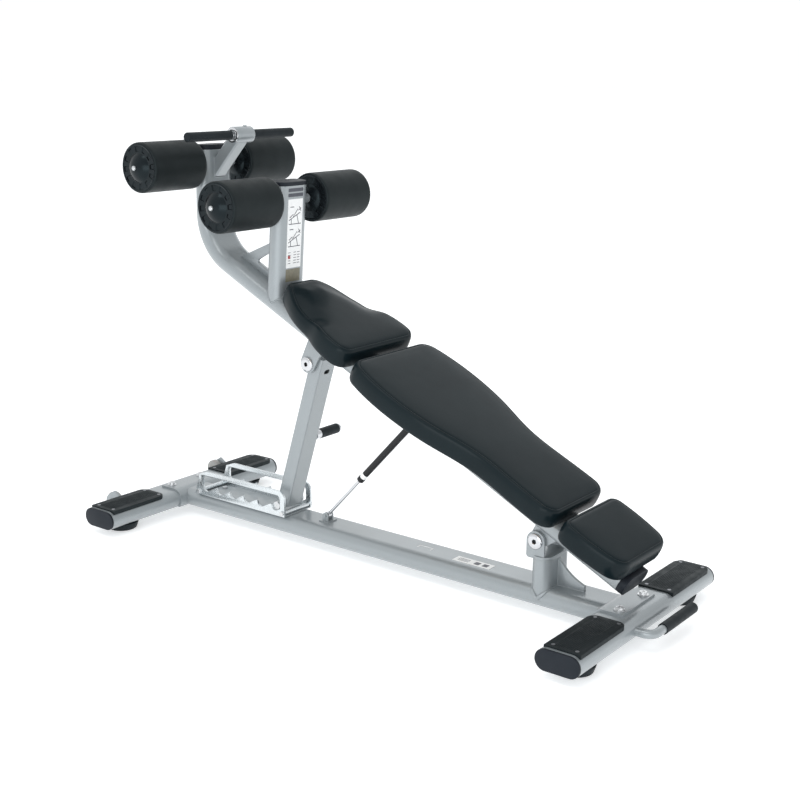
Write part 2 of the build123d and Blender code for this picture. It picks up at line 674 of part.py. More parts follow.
strut_axis = Vector(math.sin(STRUT_TILT), 0, math.cos(STRUT_TILT))
STRUT_X_AT_300 = -257.5
foot_point = Vector(STRUT_X_AT_300 + (FOOT_PIN_Z - 300) * math.tan(STRUT_TILT), 0, FOOT_PIN_Z)
STRUT_LENGTH = 442.0
strut_plane = Plane(origin=foot_point, x_dir=(0, 1, 0), z_dir=strut_axis)
tube_outer = extrude(strut_plane * RectangleRounded(STRUT_WIDTH, STRUT_DEPTH, 5), amount=STRUT_LENGTH)
tube_inner = extrude(
    strut_plane * RectangleRounded(STRUT_WIDTH - 2 * TUBE_WALL, STRUT_DEPTH - 2 * TUBE_WALL, 3),
    amount=STRUT_LENGTH - TUBE_WALL,
)
hinge_barrel = bar_y(22, -STRUT_WIDTH / 2, STRUT_WIDTH / 2, HINGE_X, HINGE_Z)
foot_barrel = bar_y(12.5, -STRUT_WIDTH / 2, STRUT_WIDTH / 2, FOOT_PIN_X, FOOT_PIN_Z)
strut_tube = tube_outer - tube_inner + hinge_barrel + foot_barrel
strut_tube = strut_tube - bar_y(HINGE_RADIUS + RUNNING, -60, 60, HINGE_X, HINGE_Z)
strut_tube = strut_tube - bar_y(FOOT_CORE, -60, 60, FOOT_PIN_X, FOOT_PIN_Z)
front_slot_plane = Plane(
    origin=foot_point + strut_axis * 405 + Vector(math.cos(STRUT_TILT), 0, -math.sin(STRUT_TILT)) * 10,
    x_dir=strut_axis,
    z_dir=(math.cos(STRUT_TILT), 0, -math.sin(STRUT_TILT)),
)
strut_tube = strut_tube - extrude(front_slot_plane * Rot(0, 0, 90) * SlotOverall(21, 12), amount=20)

LIFT_POINT = foot_point + strut_axis * 201
LIFT_X, LIFT_Z = LIFT_POINT.X + 8, LIFT_POINT.Z
LIFT_GRIP_LOW, LIFT_GRIP_HIGH = 49.0, 121.0
strut_tube = strut_tube - bar_y(7, 0, 60, LIFT_X, LIFT_Z)
foot_pin = bar_y(FOOT_CORE, -STRUT_WIDTH / 2, STRUT_WIDTH / 2, FOOT_PIN_X, FOOT_PIN_Z)
for pin_end in both_sides(bar_y(11, STRUT_WIDTH / 2, PLATE_INNER_Y - 0.5, FOOT_PIN_X, FOOT_PIN_Z)):
    foot_pin += pin_end
lift_handle = bar_y(7, 20, LIFT_GRIP_HIGH + 2, LIFT_X, LIFT_Z)
lift_handle += bar_y(12.5, STRUT_WIDTH / 2, LIFT_GRIP_LOW, LIFT_X, LIFT_Z)
lift_end = bar_y(12, LIFT_GRIP_HIGH, LIFT_GRIP_HIGH + 9, LIFT_X, LIFT_Z)
lift_handle += fillet(lift_end.edges().group_by(Axis.Y)[-1], 3)
lift_grip = bar_y(13.5, LIFT_GRIP_LOW, LIFT_GRIP_HIGH, LIFT_X, LIFT_Z) - bar_y(7, 0, 140, LIFT_X, LIFT_Z)
save("strut_tube", strut_tube)
save("foot_pin", foot_pin)
save("lift_handle", lift_handle)
save("lift_handle_grip", lift_grip)


# ---- Gas spring, between the base beam and the bench beam ----

gas_low = Vector(GAS_LOW_X, 0, GAS_LOW_Z)
gas_high = Vector(GAS_HIGH_X, 0, GAS_HIGH_Z)
gas_axis = (gas_high - gas_low).normalized()
gas_length = (gas_high - gas_low).length
CYLINDER_RADIUS = 9.0
CYLINDER_START = 162.0
ROD_INSIDE = 60.0
GAS_STROKE = 68.0
ROD_RADIUS = 4.0
LOWER_PIN = 4.0
EYE_CLEARANCE = 2.4


def along_gas(start, length, radius):
    plane = Plane(origin=gas_low + gas_axis * start, x_dir=(0, 1, 0), z_dir=gas_axis)
    return extrude(plane * Circle(radius), amount=length)


rod_reach = CYLINDER_START + ROD_INSIDE
rod_hole = along_gas(CYLINDER_START - 1, ROD_INSIDE + GAS_STROKE + 4, ROD_RADIUS + RUNNING)
gas_cylinder = along_gas(CYLINDER_START, gas_length - CYLINDER_START - 7, CYLINDER_RADIUS)
gas_cylinder += bar_y(10, -8, 8, GAS_HIGH_X, GAS_HIGH_Z)
gas_cylinder = gas_cylinder - rod_hole - bar_y(GAS_PIN + RUNNING, -20, 20, GAS_HIGH_X, GAS_HIGH_Z)
gas_rod = along_gas(8, rod_reach - 8, ROD_RADIUS)
gas_rod += bar_y(LOWER_PIN + EYE_CLEARANCE + 3, -6, 6, GAS_LOW_X, GAS_LOW_Z)
gas_rod = gas_rod - bar_y(LOWER_PIN + EYE_CLEARANCE, -20, 20, GAS_LOW_X, GAS_LOW_Z)

fork_outline = Pos(GAS_LOW_X, GAS_LOW_Z) * Circle(9)
fork_outline += Pos(GAS_LOW_X, (GAS_LOW_Z + BASE_TOP) / 2) * Rectangle(18, GAS_LOW_Z - BASE_TOP)
fork_ear = slab_xz(fork_outline, 7.5, 11.5) - bar_y(LOWER_PIN, 0, 30, GAS_LOW_X, GAS_LOW_Z)
fork_foot = block((GAS_LOW_X - 16, -18, BASE_TOP), (GAS_LOW_X + 16, 18, BASE_TOP + 3))
gas_lower_bracket = fork_foot + both_sides(fork_ear)
gas_lower_pin = bar_y(LOWER_PIN, -14.5, 14.5, GAS_LOW_X, GAS_LOW_Z)
save("gas_cylinder", gas_cylinder)
save("gas_rod", gas_rod)
save("gas_lower_bracket", gas_lower_bracket, gas_lower_pin)


# ---- Pads, boards, cross straps and pad bolts ----

def pad_outline(side, corner_start, corner_end, inset=0.0):
    """Symmetric outline in (s, y): a smooth side through a few (s, half width) points."""
    points = [(s, y - inset) for s, y in side]
    points[0] = (points[0][0] + inset, points[0][1])
    points[-1] = (points[-1][0] - inset, points[-1][1])
    far = Spline(points)
    near = Spline([(s, -y) for s, y in points])
    start = Line(points[0], (points[0][0], -points[0][1]))
    end = Line(points[-1], (points[-1][0], -points[-1][1]))
    face = make_face([far, end, near, start])
    ordered = face.vertices().sort_by(Axis.X)
    face = fillet(ordered[:2], corner_start)
    ordered = face.vertices().sort_by(Axis.X)
    return fillet(ordered[-2:], corner_end)


SEAT_SIDE = [(-344, 53), (-315, 73), (-267, 100), (-212, 118), (-180, 124), (-146, 138), (-99, 148), (-40, 140)]
BACK_SIDE = [(-16, 150), (60, 168), (170, 171), (270, 154), (370, 126), (480, 124), (610, 124)]
HEAD_SIDE = [(629, 119), (720, 122), (803, 108)]
PADS = {
    "seat_pad": (SEAT_SIDE, 40, 36),
    "back_pad": (BACK_SIDE, 44, 40),
    "head_pad": (HEAD_SIDE, 30, 42),
}
STRAPS_S = {"seat_pad": (-262, -100), "back_pad": (60, 230, 400, 540), "head_pad": (668, 762)}
SEAT_HIGH = 85.0
STRAP_HALF_LENGTH = 72.0
STRAP_HALF_WIDTH = 20.0
PAD_BOLT_Y = 64.0

seat_profile = Polyline(
    (-360, PAD_LOW), (-360, 74), (-310, SEAT_HIGH), (-70, SEAT_HIGH), (0, PAD_HIGH), (0, PAD_LOW), close=True
)


def pad_bolt(s, y):
    """Hexagon bolt up through a strap into the pad's board."""
    head = Pos(s, y, HALF_DEPTH - 5) * extrude(RegularPolygon(6.5, 6), amount=5)
    shank = Pos(s, y, HALF_DEPTH) * Cylinder(3, PLATE_THICKNESS + 9, align=(Align.CENTER, Align.CENTER, Align.MIN))
    return beam_frame.location * (head + shank)


boards = []
straps = []
pad_bolts = []
for name, (side, start_radius, end_radius) in PADS.items():
    prism = extrude(Pos(0, 0, PAD_LOW) * pad_outline(side, start_radius, end_radius), amount=PAD_HIGH - PAD_LOW + 12)
    if name == "seat_pad":
        prism = prism & slab_xz(make_face(seat_profile), -200, 200)
    else:
        prism = prism & block((-400, -200, PAD_LOW), (900, 200, PAD_HIGH))
    board = extrude(
        Pos(0, 0, PAD_LOW) * pad_outline(side, start_radius - BOARD_INSET, end_radius - BOARD_INSET, BOARD_INSET),
        amount=BOARD_THICKNESS,
    )
    pad = beam_frame.location * (prism - board)
    board = beam_frame.location * board
    for s in STRAPS_S[name]:
        strap = beam_frame.location * block(
            (s - STRAP_HALF_WIDTH, -STRAP_HALF_LENGTH, HALF_DEPTH),
            (s + STRAP_HALF_WIDTH, STRAP_HALF_LENGTH, PAD_LOW),
        )
        for y in (-PAD_BOLT_Y, PAD_BOLT_Y):
            bolt = pad_bolt(s, y)
            strap = strap - bolt
            board = board - bolt
            pad_bolts.append(bolt)
        straps.append(strap)
    boards.append(board)
    save(name, pad)
save("pad_boards", *boards)
save("pad_straps", *straps)
save("pad_bolts", *pad_bolts)
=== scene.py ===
import json
import math

import bmesh
import bpy
from mathutils import Matrix, Vector
from mathutils.geometry import delaunay_2d_cdt
from mathutils.kdtree import KDTree


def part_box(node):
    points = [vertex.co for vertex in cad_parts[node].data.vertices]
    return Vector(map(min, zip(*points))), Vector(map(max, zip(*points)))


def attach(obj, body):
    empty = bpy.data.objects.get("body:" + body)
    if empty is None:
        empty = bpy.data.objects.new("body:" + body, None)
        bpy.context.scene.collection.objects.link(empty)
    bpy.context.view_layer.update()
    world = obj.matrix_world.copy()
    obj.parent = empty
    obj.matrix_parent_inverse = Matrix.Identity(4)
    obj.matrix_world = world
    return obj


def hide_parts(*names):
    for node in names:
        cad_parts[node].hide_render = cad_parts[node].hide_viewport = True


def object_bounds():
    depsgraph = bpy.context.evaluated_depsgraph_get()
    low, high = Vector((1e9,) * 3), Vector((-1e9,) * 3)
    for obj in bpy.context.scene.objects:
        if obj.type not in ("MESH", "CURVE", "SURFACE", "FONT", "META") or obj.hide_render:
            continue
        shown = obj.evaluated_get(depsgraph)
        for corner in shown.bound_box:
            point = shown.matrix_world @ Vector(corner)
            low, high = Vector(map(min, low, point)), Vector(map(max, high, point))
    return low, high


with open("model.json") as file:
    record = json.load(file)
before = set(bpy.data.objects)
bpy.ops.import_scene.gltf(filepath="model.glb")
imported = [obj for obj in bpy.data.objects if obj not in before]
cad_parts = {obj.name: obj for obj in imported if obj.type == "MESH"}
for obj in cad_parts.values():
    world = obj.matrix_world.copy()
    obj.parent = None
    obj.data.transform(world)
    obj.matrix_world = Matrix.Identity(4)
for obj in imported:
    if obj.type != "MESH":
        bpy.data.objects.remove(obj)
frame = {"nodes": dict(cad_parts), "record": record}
cad_low, cad_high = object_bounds()
NODES = frame["nodes"]
BODY_OF = {
    node: body
    for body, nodes in frame["record"]["behaviour"]["bodies"].items()
    for node in nodes
}
collection = bpy.context.scene.collection

# ---- The bench beam's own frame: s down the slope, y across, h square to the pads. Metres ----

BEAM_ANGLE = math.radians(26.43)
BEAM_HEIGHT = 0.4852
BEAM = Matrix.Translation((0, 0, BEAM_HEIGHT)) @ Matrix.Rotation(BEAM_ANGLE, 4, "Y")
TUBE_HALF_WIDTH = 0.055
TUBE_HALF_DEPTH = 0.025
MM = 0.001

# ---- Camera, at the angle the bench is seen from. Degrees, metres, and millimetres for the lens ----

CAMERA_AZIMUTH = 37.21
CAMERA_ELEVATION = 14.02
CAMERA_ROLL = 0.56
CAMERA_DISTANCE = 3.3066
CAMERA_TARGET = Vector((0.0505, 0.0, 0.4569))
CAMERA_LENS = 59.63
CAMERA_SENSOR = 36.0
CAMERA_SHIFT = (0.0019, -0.0083)


def make_camera():
    """The camera, turned about its target and rolled a little."""
    azimuth, elevation, roll = (math.radians(a) for a in (CAMERA_AZIMUTH, CAMERA_ELEVATION, CAMERA_ROLL))
    back = Vector((
        math.sin(azimuth) * math.cos(elevation),
        -math.cos(azimuth) * math.cos(elevation),
        math.sin(elevation),
    ))
    level = Vector((math.cos(azimuth), math.sin(azimuth), 0))
    upright = back.cross(level)
    right = level * math.cos(roll) + upright * math.sin(roll)
    up = upright * math.cos(roll) - level * math.sin(roll)
    data = bpy.data.cameras.new("camera")
    data.lens = CAMERA_LENS
    data.sensor_width = CAMERA_SENSOR
    data.shift_x, data.shift_y = CAMERA_SHIFT
    camera = bpy.data.objects.new("camera", data)
    turn = Matrix((right, up, back)).transposed()
    camera.matrix_world = Matrix.Translation(CAMERA_TARGET + back * CAMERA_DISTANCE) @ turn.to_4x4()
    collection.objects.link(camera)
    bpy.context.scene.camera = camera


# ---- Lights, backdrop and floor ----

LIGHT_AIM = Vector((0, 0, 0.45))
FLOOR_REACH = 60.0
FLOOR_GAP = 0.0005
SKY_COLOUR = (0.975, 0.99, 1.0, 1)
HORIZON_STRENGTH = 1.03


def soft_light(name, place, size, watts, colour):
    """A rectangular area light that faces the bench."""
    data = bpy.data.lights.new(name, "AREA")
    data.shape = "RECTANGLE"
    data.size, data.size_y = size
    data.energy = watts
    data.color = colour
    light = bpy.data.objects.new(name, data)
    aim = LIGHT_AIM - Vector(place)
    light.rotation_euler = aim.to_track_quat("-Z", "Y").to_euler()
    light.location = place
    collection.objects.link(light)


def map_range(tree, source, low, high, least, most):
    """A node whose result runs from least to most as the source goes from low to high."""
    made = tree.nodes.new("ShaderNodeMapRange")
    for name, value in zip(("From Min", "From Max", "To Min", "To Max"), (low, high, least, most)):
        made.inputs[name].default_value = value
    tree.links.new(source, made.inputs["Value"])
    return made


def make_world():
    """White studio surround with a level white horizon, and a darker sky towards the head end."""
    world = bpy.data.worlds.new("studio")
    world.use_nodes = True
    tree = world.node_tree
    direction = tree.nodes.new("ShaderNodeTexCoord").outputs["Generated"]
    axes = tree.nodes.new("ShaderNodeSeparateXYZ")
    tree.links.new(direction, axes.inputs["Vector"])
    sky = map_range(tree, axes.outputs["X"], low=1.0, high=-0.25, least=0.6, most=1.0)
    horizon = map_range(tree, axes.outputs["Z"], low=0.10, high=0.36, least=HORIZON_STRENGTH, most=1.0)
    horizon.interpolation_type = "SMOOTHSTEP"
    tree.links.new(sky.outputs["Result"], horizon.inputs["To Max"])
    background = tree.nodes["Background"]
    background.inputs["Color"].default_value = SKY_COLOUR
    tree.links.new(horizon.outputs["Result"], background.inputs["Strength"])
    bpy.context.scene.world = world
    bpy.context.scene.view_settings.view_transform = "Standard"


def make_floor():
    """A wide pale plane just under the feet, which glows a little so that it melts into the surround."""
    mesh = bpy.data.meshes.new("floor")
    corners = [(-1, -1), (1, -1), (1, 1), (-1, 1)]
    level = cad_low.z - FLOOR_GAP
    mesh.from_pydata([(x * FLOOR_REACH, y * FLOOR_REACH, level) for x, y in corners], [], [(0, 1, 2, 3)])
    floor = bpy.data.objects.new("floor", mesh)
    material = bpy.data.materials.new("pale_floor")
    material.use_nodes = True
    shader = material.node_tree.nodes["Principled BSDF"]
    shader.inputs["Base Color"].default_value = (0.88, 0.89, 0.9, 1)
    shader.inputs["Roughness"].default_value = 0.8
    shader.inputs["Specular IOR Level"].default_value = 0.1
    shader.inputs["Emission Color"].default_value = (1, 1, 1, 1)
    shader.inputs["Emission Strength"].default_value = 0.46
    mesh.materials.append(material)
    collection.objects.link(floor)


make_camera()
make_world()
make_floor()
soft_light("overhead_softbox", place=(0.2, -1.5, 3.1), size=(2.6, 0.5), watts=13, colour=(1.0, 0.985, 0.96))
soft_light("front_softbox", place=(1.6, -3.6, 1.0), size=(3.6, 1.7), watts=34, colour=(0.96, 0.985, 1.0))
soft_light("far_softbox", place=(-1.2, 3.2, 2.0), size=(2.4, 1.4), watts=5, colour=(0.92, 0.97, 1.0))


# ---- Finishes. Colours are linear, sizes of grain are per metre and depths of relief are metres ----

class Finish:
    """One procedural material: layers of noise that feed a Principled shader."""

    def __init__(self, name, colour, roughness, metallic=0.0, **sockets):
        self.material = bpy.data.materials.new(name)
        self.material.use_nodes = True
        self.tree = self.material.node_tree
        self.shader = self.tree.nodes["Principled BSDF"]
        self.place = self.tree.nodes.new("ShaderNodeTexCoord").outputs["Object"]
        self.height = None
        self.set(Base_Color=(*colour, 1), Roughness=roughness, Metallic=metallic, **sockets)

    def set(self, **sockets):
        for name, value in sockets.items():
            self.shader.inputs[name.replace("_", " ")].default_value = value

    def scaled(self, stretch):
        mapping = self.tree.nodes.new("ShaderNodeMapping")
        mapping.inputs["Scale"].default_value = stretch
        self.tree.links.new(self.place, mapping.inputs["Vector"])
        return mapping.outputs["Vector"]

    def noise(self, scale, detail=3.0, stretch=(1, 1, 1), rough=0.5):
        made = self.tree.nodes.new("ShaderNodeTexNoise")
        made.inputs["Scale"].default_value = scale
        made.inputs["Detail"].default_value = detail
        made.inputs["Roughness"].default_value = rough
        self.tree.links.new(self.scaled(stretch), made.inputs["Vector"])
        return made.outputs["Fac"]

    def cells(self, scale, stretch=(1, 1, 1), feature="F1"):
        made = self.tree.nodes.new("ShaderNodeTexVoronoi")
        made.feature = feature
        made.inputs["Scale"].default_value = scale
        self.tree.links.new(self.scaled(stretch), made.inputs["Vector"])
        return made.outputs["Distance"]

    def rings(self, scale, distortion, stretch=(1, 1, 1)):
        made = self.tree.nodes.new("ShaderNodeTexWave")
        made.wave_type = "RINGS"
        made.inputs["Scale"].default_value = scale
        made.inputs["Distortion"].default_value = distortion
        made.inputs["Detail"].default_value = 2.0
        self.tree.links.new(self.scaled(stretch), made.inputs["Vector"])
        return made.outputs["Fac"]

    def tone(self, source, dark, light, low=0.3, high=0.7):
        """Base colour that runs from dark to light as the source rises."""
        ramp = self.tree.nodes.new("ShaderNodeValToRGB")
        ramp.color_ramp.elements[0].position = low
        ramp.color_ramp.elements[1].position = high
        ramp.color_ramp.elements[0].color = (*dark, 1)
        ramp.color_ramp.elements[1].color = (*light, 1)
        self.tree.links.new(source, ramp.inputs["Fac"])
        self.tree.links.new(ramp.outputs["Color"], self.shader.inputs["Base Color"])

    def spread(self, source, least, most, low=0.3, high=0.7):
        """Roughness that runs from least to most as the source rises."""
        span = map_range(self.tree, source, low, high, least, most)
        self.tree.links.new(span.outputs["Result"], self.shader.inputs["Roughness"])

    def relief(self, source, strength, depth):
        """Fine surface relief, added on top of what is already there."""
        bump = self.tree.nodes.new("ShaderNodeBump")
        bump.inputs["Strength"].default_value = strength
        bump.inputs["Distance"].default_value = depth
        self.tree.links.new(source, bump.inputs["Height"])
        if self.height:
            self.tree.links.new(self.height, bump.inputs["Normal"])
        self.height = bump.outputs["Normal"]
        self.tree.links.new(self.height, self.shader.inputs["Normal"])


def metallic_paint():
    finish = Finish(
        "silver_powder_coat", (0.34, 0.37, 0.385), 0.34, metallic=0.4,
        Coat_Weight=0.55, Coat_Roughness=0.15,
    )
    finish.tone(finish.noise(5200, 2.0), (0.272, 0.3, 0.315), (0.368, 0.4, 0.416), 0.35, 0.68)
    finish.spread(finish.noise(14, 5.0), 0.31, 0.38)
    finish.relief(finish.noise(420, 2.0), 0.06, 0.0004)
    finish.relief(finish.cells(2600), 0.03, 0.0002)
    return finish.material


def plated(name, light, roughness):
    finish = Finish(name, light, roughness, metallic=1.0)
    dark = tuple(0.9 * c for c in light)
    finish.tone(finish.noise(70, 6.0, (1, 1, 1.6), 0.65), dark, light, 0.3, 0.75)
    finish.spread(finish.noise(160, 5.0, (1, 1, 3)), roughness - 0.06, roughness + 0.12)
    finish.relief(finish.noise(900, 2.0, (1, 1, 6)), 0.06, 0.0002)
    return finish.material


def chrome():
    finish = Finish("polished_chrome", (0.64, 0.65, 0.67), 0.12, metallic=1.0)
    finish.spread(finish.noise(90, 6.0, rough=0.7), 0.06, 0.2)
    finish.relief(finish.noise(60, 2.0), 0.03, 0.0003)
    return finish.material


def vinyl():
    finish = Finish(
        "charcoal_vinyl", (0.0065, 0.0125, 0.0152), 0.45, Coat_Weight=0.26, Coat_Roughness=0.2,
        Specular_IOR_Level=0.03, Specular_Tint=(0.66, 0.95, 1.0, 1),
    )
    finish.tone(finish.noise(9, 4.0), (0.0056, 0.0110, 0.0138), (0.0074, 0.0140, 0.0170))
    finish.spread(finish.noise(22, 4.0), 0.37, 0.43)
    finish.relief(finish.cells(760, feature="SMOOTH_F1"), 0.16, 0.0003)
    finish.relief(finish.noise(330, 2.0), 0.05, 0.0003)
    return finish.material


def foam_skin():
    finish = Finish(
        "skinned_foam", (0.006, 0.009, 0.0105), 0.5,
        Specular_IOR_Level=0.25, Specular_Tint=(0.78, 0.97, 1.0, 1),
    )
    finish.tone(finish.noise(12, 4.0), (0.006, 0.0078, 0.0086), (0.009, 0.0112, 0.0124))
    finish.spread(finish.noise(30, 4.0), 0.46, 0.56)
    finish.relief(finish.noise(950, 4.0, rough=0.7), 0.2, 0.0004)
    finish.relief(finish.cells(1500), 0.1, 0.0003)
    return finish.material


def gloss_moulding():
    finish = Finish(
        "gloss_black_moulding", (0.003, 0.0045, 0.0056), 0.2,
        Specular_IOR_Level=0.24, Specular_Tint=(0.7, 0.92, 1.0, 1),
    )
    finish.spread(finish.noise(45, 5.0), 0.16, 0.28)
    finish.tone(finish.noise(20, 2.0), (0.0035, 0.0045, 0.0055), (0.006, 0.0075, 0.009))
    finish.relief(finish.noise(260, 2.0), 0.05, 0.0003)
    return finish.material


def matt_moulding():
    finish = Finish(
        "matt_black_moulding", (0.01, 0.0125, 0.0185), 0.45,
        Specular_IOR_Level=0.26, Specular_Tint=(0.8, 0.92, 1.0, 1),
    )
    finish.tone(finish.noise(30, 4.0), (0.009, 0.011, 0.0155), (0.0135, 0.0155, 0.021))
    finish.spread(finish.noise(60, 4.0), 0.4, 0.5)
    finish.relief(finish.cells(1300), 0.15, 0.0003)
    return finish.material


def rubber(name, colour, grain):
    finish = Finish(name, colour, 0.55, Specular_IOR_Level=0.27, Specular_Tint=(0.78, 0.95, 1.0, 1))
    finish.tone(finish.noise(24, 4.0), tuple(0.85 * c for c in colour), tuple(1.15 * c for c in colour))
    finish.spread(finish.noise(60, 4.0), 0.48, 0.62)
    finish.relief(finish.noise(grain, 4.0, rough=0.65), 0.22, 0.0003)
    return finish.material


def gloss_black_paint():
    finish = Finish(
        "gloss_black_paint", (0.005, 0.006, 0.008), 0.28, Coat_Weight=0.12, Coat_Roughness=0.12,
        Specular_IOR_Level=0.3,
    )
    finish.spread(finish.noise(120, 4.0), 0.22, 0.36)
    finish.tone(finish.noise(30, 3.0), (0.004, 0.005, 0.0065), (0.0065, 0.0075, 0.0095))
    finish.relief(finish.noise(500, 2.0), 0.06, 0.0002)
    return finish.material


def plywood():
    finish = Finish("birch_plywood", (0.4, 0.28, 0.16), 0.62)
    finish.tone(finish.rings(26, 5.0, (0.35, 1.0, 8.0)), (0.27, 0.175, 0.095), (0.46, 0.33, 0.2), 0.1, 0.9)
    finish.spread(finish.noise(90, 4.0), 0.55, 0.75)
    finish.relief(finish.noise(500, 3.0, (0.3, 1, 1)), 0.25, 0.0004)
    return finish.material


def nylon():
    finish = Finish("grey_nylon", (0.36, 0.36, 0.35), 0.45, Subsurface_Weight=0.03)
    finish.tone(finish.noise(80, 4.0), (0.28, 0.28, 0.27), (0.4, 0.4, 0.39))
    finish.spread(finish.noise(120, 4.0), 0.38, 0.55)
    finish.relief(finish.noise(700, 2.0), 0.1, 0.0003)
    return finish.material


def label_film(name, light, dark):
    finish = Finish(name, light, 0.35)
    finish.tone(finish.noise(120, 5.0), dark, light, 0.25, 0.6)
    finish.spread(finish.noise(200, 3.0), 0.3, 0.45)
    finish.relief(finish.noise(300, 2.0), 0.04, 0.0002)
    return finish.material


FINISHES = {
    "frame_paint": metallic_paint(),
    "moulded_black": matt_moulding(),
    "rubber_black": rubber("soft_black_rubber", (0.009, 0.011, 0.0135), 900),
    "tread_rubber": rubber("tread_rubber", (0.0085, 0.011, 0.0125), 1400),
    "bright_steel": plated("zinc_plated_steel", (0.7, 0.71, 0.72), 0.28),
    "chrome": chrome(),
    "zinc_plate": plated("bright_plate", (0.72, 0.76, 0.78), 0.24),
    "black_steel": gloss_black_paint(),
    "vinyl": vinyl(),
    "plywood": plywood(),
    "roller_foam": foam_skin(),
    "hub_plastic": gloss_moulding(),
    "wheel_nylon": nylon(),
}
SLOT_OF = {part["node"]: part["material_slot"] for part in frame["record"]["subparts"]}


# ---- Mesh helpers ----

def finished(name, mesh, body, slot, finish=None, place=None, sharp=35):
    """A mesh as a piece that rides on a body, smooth except at edges sharper than an angle in degrees.

    It has its slot's finish, unless it is given one of its own."""
    mesh.shade_smooth()
    mesh.set_sharp_from_angle(angle=math.radians(sharp))
    mesh.materials.append(finish or FINISHES[slot])
    made = bpy.data.objects.new(name, mesh)
    collection.objects.link(made)
    if place is not None:
        made.matrix_world = place
    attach(made, body)
    return made


def piece(name, points, faces, body, slot, **look):
    """A new piece from points and faces, with every face turned outwards."""
    mesh = bpy.data.meshes.new(name)
    mesh.from_pydata([tuple(point) for point in points], [], faces)
    work = bmesh.new()
    work.from_mesh(mesh)
    bmesh.ops.recalc_face_normals(work, faces=work.faces)
    work.to_mesh(mesh)
    work.free()
    return finished(name, mesh, body, slot, **look)


def ring_faces(rings, count, closed=False):
    """Quads between neighbouring rings of points, and between the last ring and the first if closed."""
    faces = []
    for ring in range(rings if closed else rings - 1):
        here, ahead = ring * count, (ring + 1) % rings * count
        for step in range(count):
            turn = (step + 1) % count
            faces.append((here + step, here + turn, ahead + turn, ahead + step))
    return faces


def end_faces(rings, count):
    """The two faces that close a stack of rings at its first and its last."""
    return [tuple(reversed(range(count))), tuple(range((rings - 1) * count, rings * count))]


def lathe(profile, segments, x, z, side=1, dent=None):
    """Points and faces of a closed (radius, y) profile turned about an axis along Y at (x, z).

    A dent gives how far a point moves along Y, from its radius and angle."""
    points = []
    for radius, y in profile:
        for step in range(segments):
            angle = 2 * math.pi * step / segments
            shift = dent(radius, y, angle) if dent else 0.0
            points.append((x + radius * math.cos(angle), side * (y + shift), z + radius * math.sin(angle)))
    return points, ring_faces(len(profile), segments, closed=True)


RIPPLE_PITCH = 0.0035
BEAD_SIDES = 8
BEAD_TIP = 0.3


def bead(path, radii, closed=False, ripple=0.22):
    """Points and faces of a weld bead: a tube along a path that swells at each ripple.

    It has one radius for the whole path, or a list with one for each point."""
    travelled = 0.0
    points = []
    count = len(path)
    across = (path[1] - path[0]).orthogonal()
    for index, point in enumerate(path):
        before = path[(index - 1) % count] if closed or index else path[index]
        after = path[(index + 1) % count] if closed or index < count - 1 else path[index]
        along = (after - before).normalized()
        across = (across - along * across.dot(along)).normalized()
        other = along.cross(across)
        radius = radii[index] if isinstance(radii, list) else radii
        swell = radius * (1 + ripple * math.sin(2 * math.pi * travelled / RIPPLE_PITCH))
        if not closed and index in (0, count - 1):
            swell = radius * BEAD_TIP
        for step in range(BEAD_SIDES):
            angle = 2 * math.pi * step / BEAD_SIDES
            points.append(point + (across * math.cos(angle) + other * math.sin(angle)) * swell)
        travelled += (after - before).length / 2
    faces = ring_faces(count, BEAD_SIDES, closed)
    if not closed:
        faces += end_faces(count, BEAD_SIDES)
    return points, faces


def join(parts):
    """Several (points, faces) pairs as one."""
    points, faces = [], []
    for some_points, some_faces in parts:
        start = len(points)
        points += some_points
        faces += [tuple(start + corner for corner in face) for face in some_faces]
    return points, faces


def between(start, end, step=0.0009):
    """Evenly spaced points from one place to another."""
    count = max(2, round((end - start).length / step))
    return [start.lerp(end, index / count) for index in range(count + 1)]


def eased(low, high, value):
    """Smooth rise from 0 to 1 as the value goes from low to high."""
    share = min(1.0, max(0.0, (value - low) / (high - low)))
    return share * share * (3 - 2 * share)


def axis_of(node):
    """X and Z of the axis of a CAD node that lies across the bench, and the Y that it reaches."""
    low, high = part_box(node)
    return (low.x + high.x) / 2, (low.z + high.z) / 2, high.y


# ---- Hard parts: the CAD shape with its edges broken ----

SAME_POINT = 1e-6
TINY = 1e-7
FLAT_ANGLE = math.radians(0.8)
EDGE_ANGLE = math.radians(30)
EDGE_SEGMENTS = 3


def edged(node, width):
    """The node's own shape with rounded edges, standing in for the CAD node."""
    work = bmesh.new()
    work.from_mesh(NODES[node].data)
    bmesh.ops.remove_doubles(work, verts=work.verts, dist=SAME_POINT)
    bmesh.ops.dissolve_limit(work, angle_limit=FLAT_ANGLE, verts=work.verts, edges=work.edges)
    sharp = [
        edge for edge in work.edges
        if len(edge.link_faces) == 2 and edge.calc_face_angle(0) > EDGE_ANGLE
    ]
    bmesh.ops.bevel(
        work, geom=sharp, offset=width, offset_type="OFFSET", segments=EDGE_SEGMENTS, profile=0.5,
        affect="EDGES", clamp_overlap=True, miter_outer="ARC",
    )
    mesh = bpy.data.meshes.new(node + "_edged")
    work.to_mesh(mesh)
    work.free()
    made = finished(node + "_edged", mesh, BODY_OF[node], SLOT_OF[node], sharp=40)
    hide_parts(node)


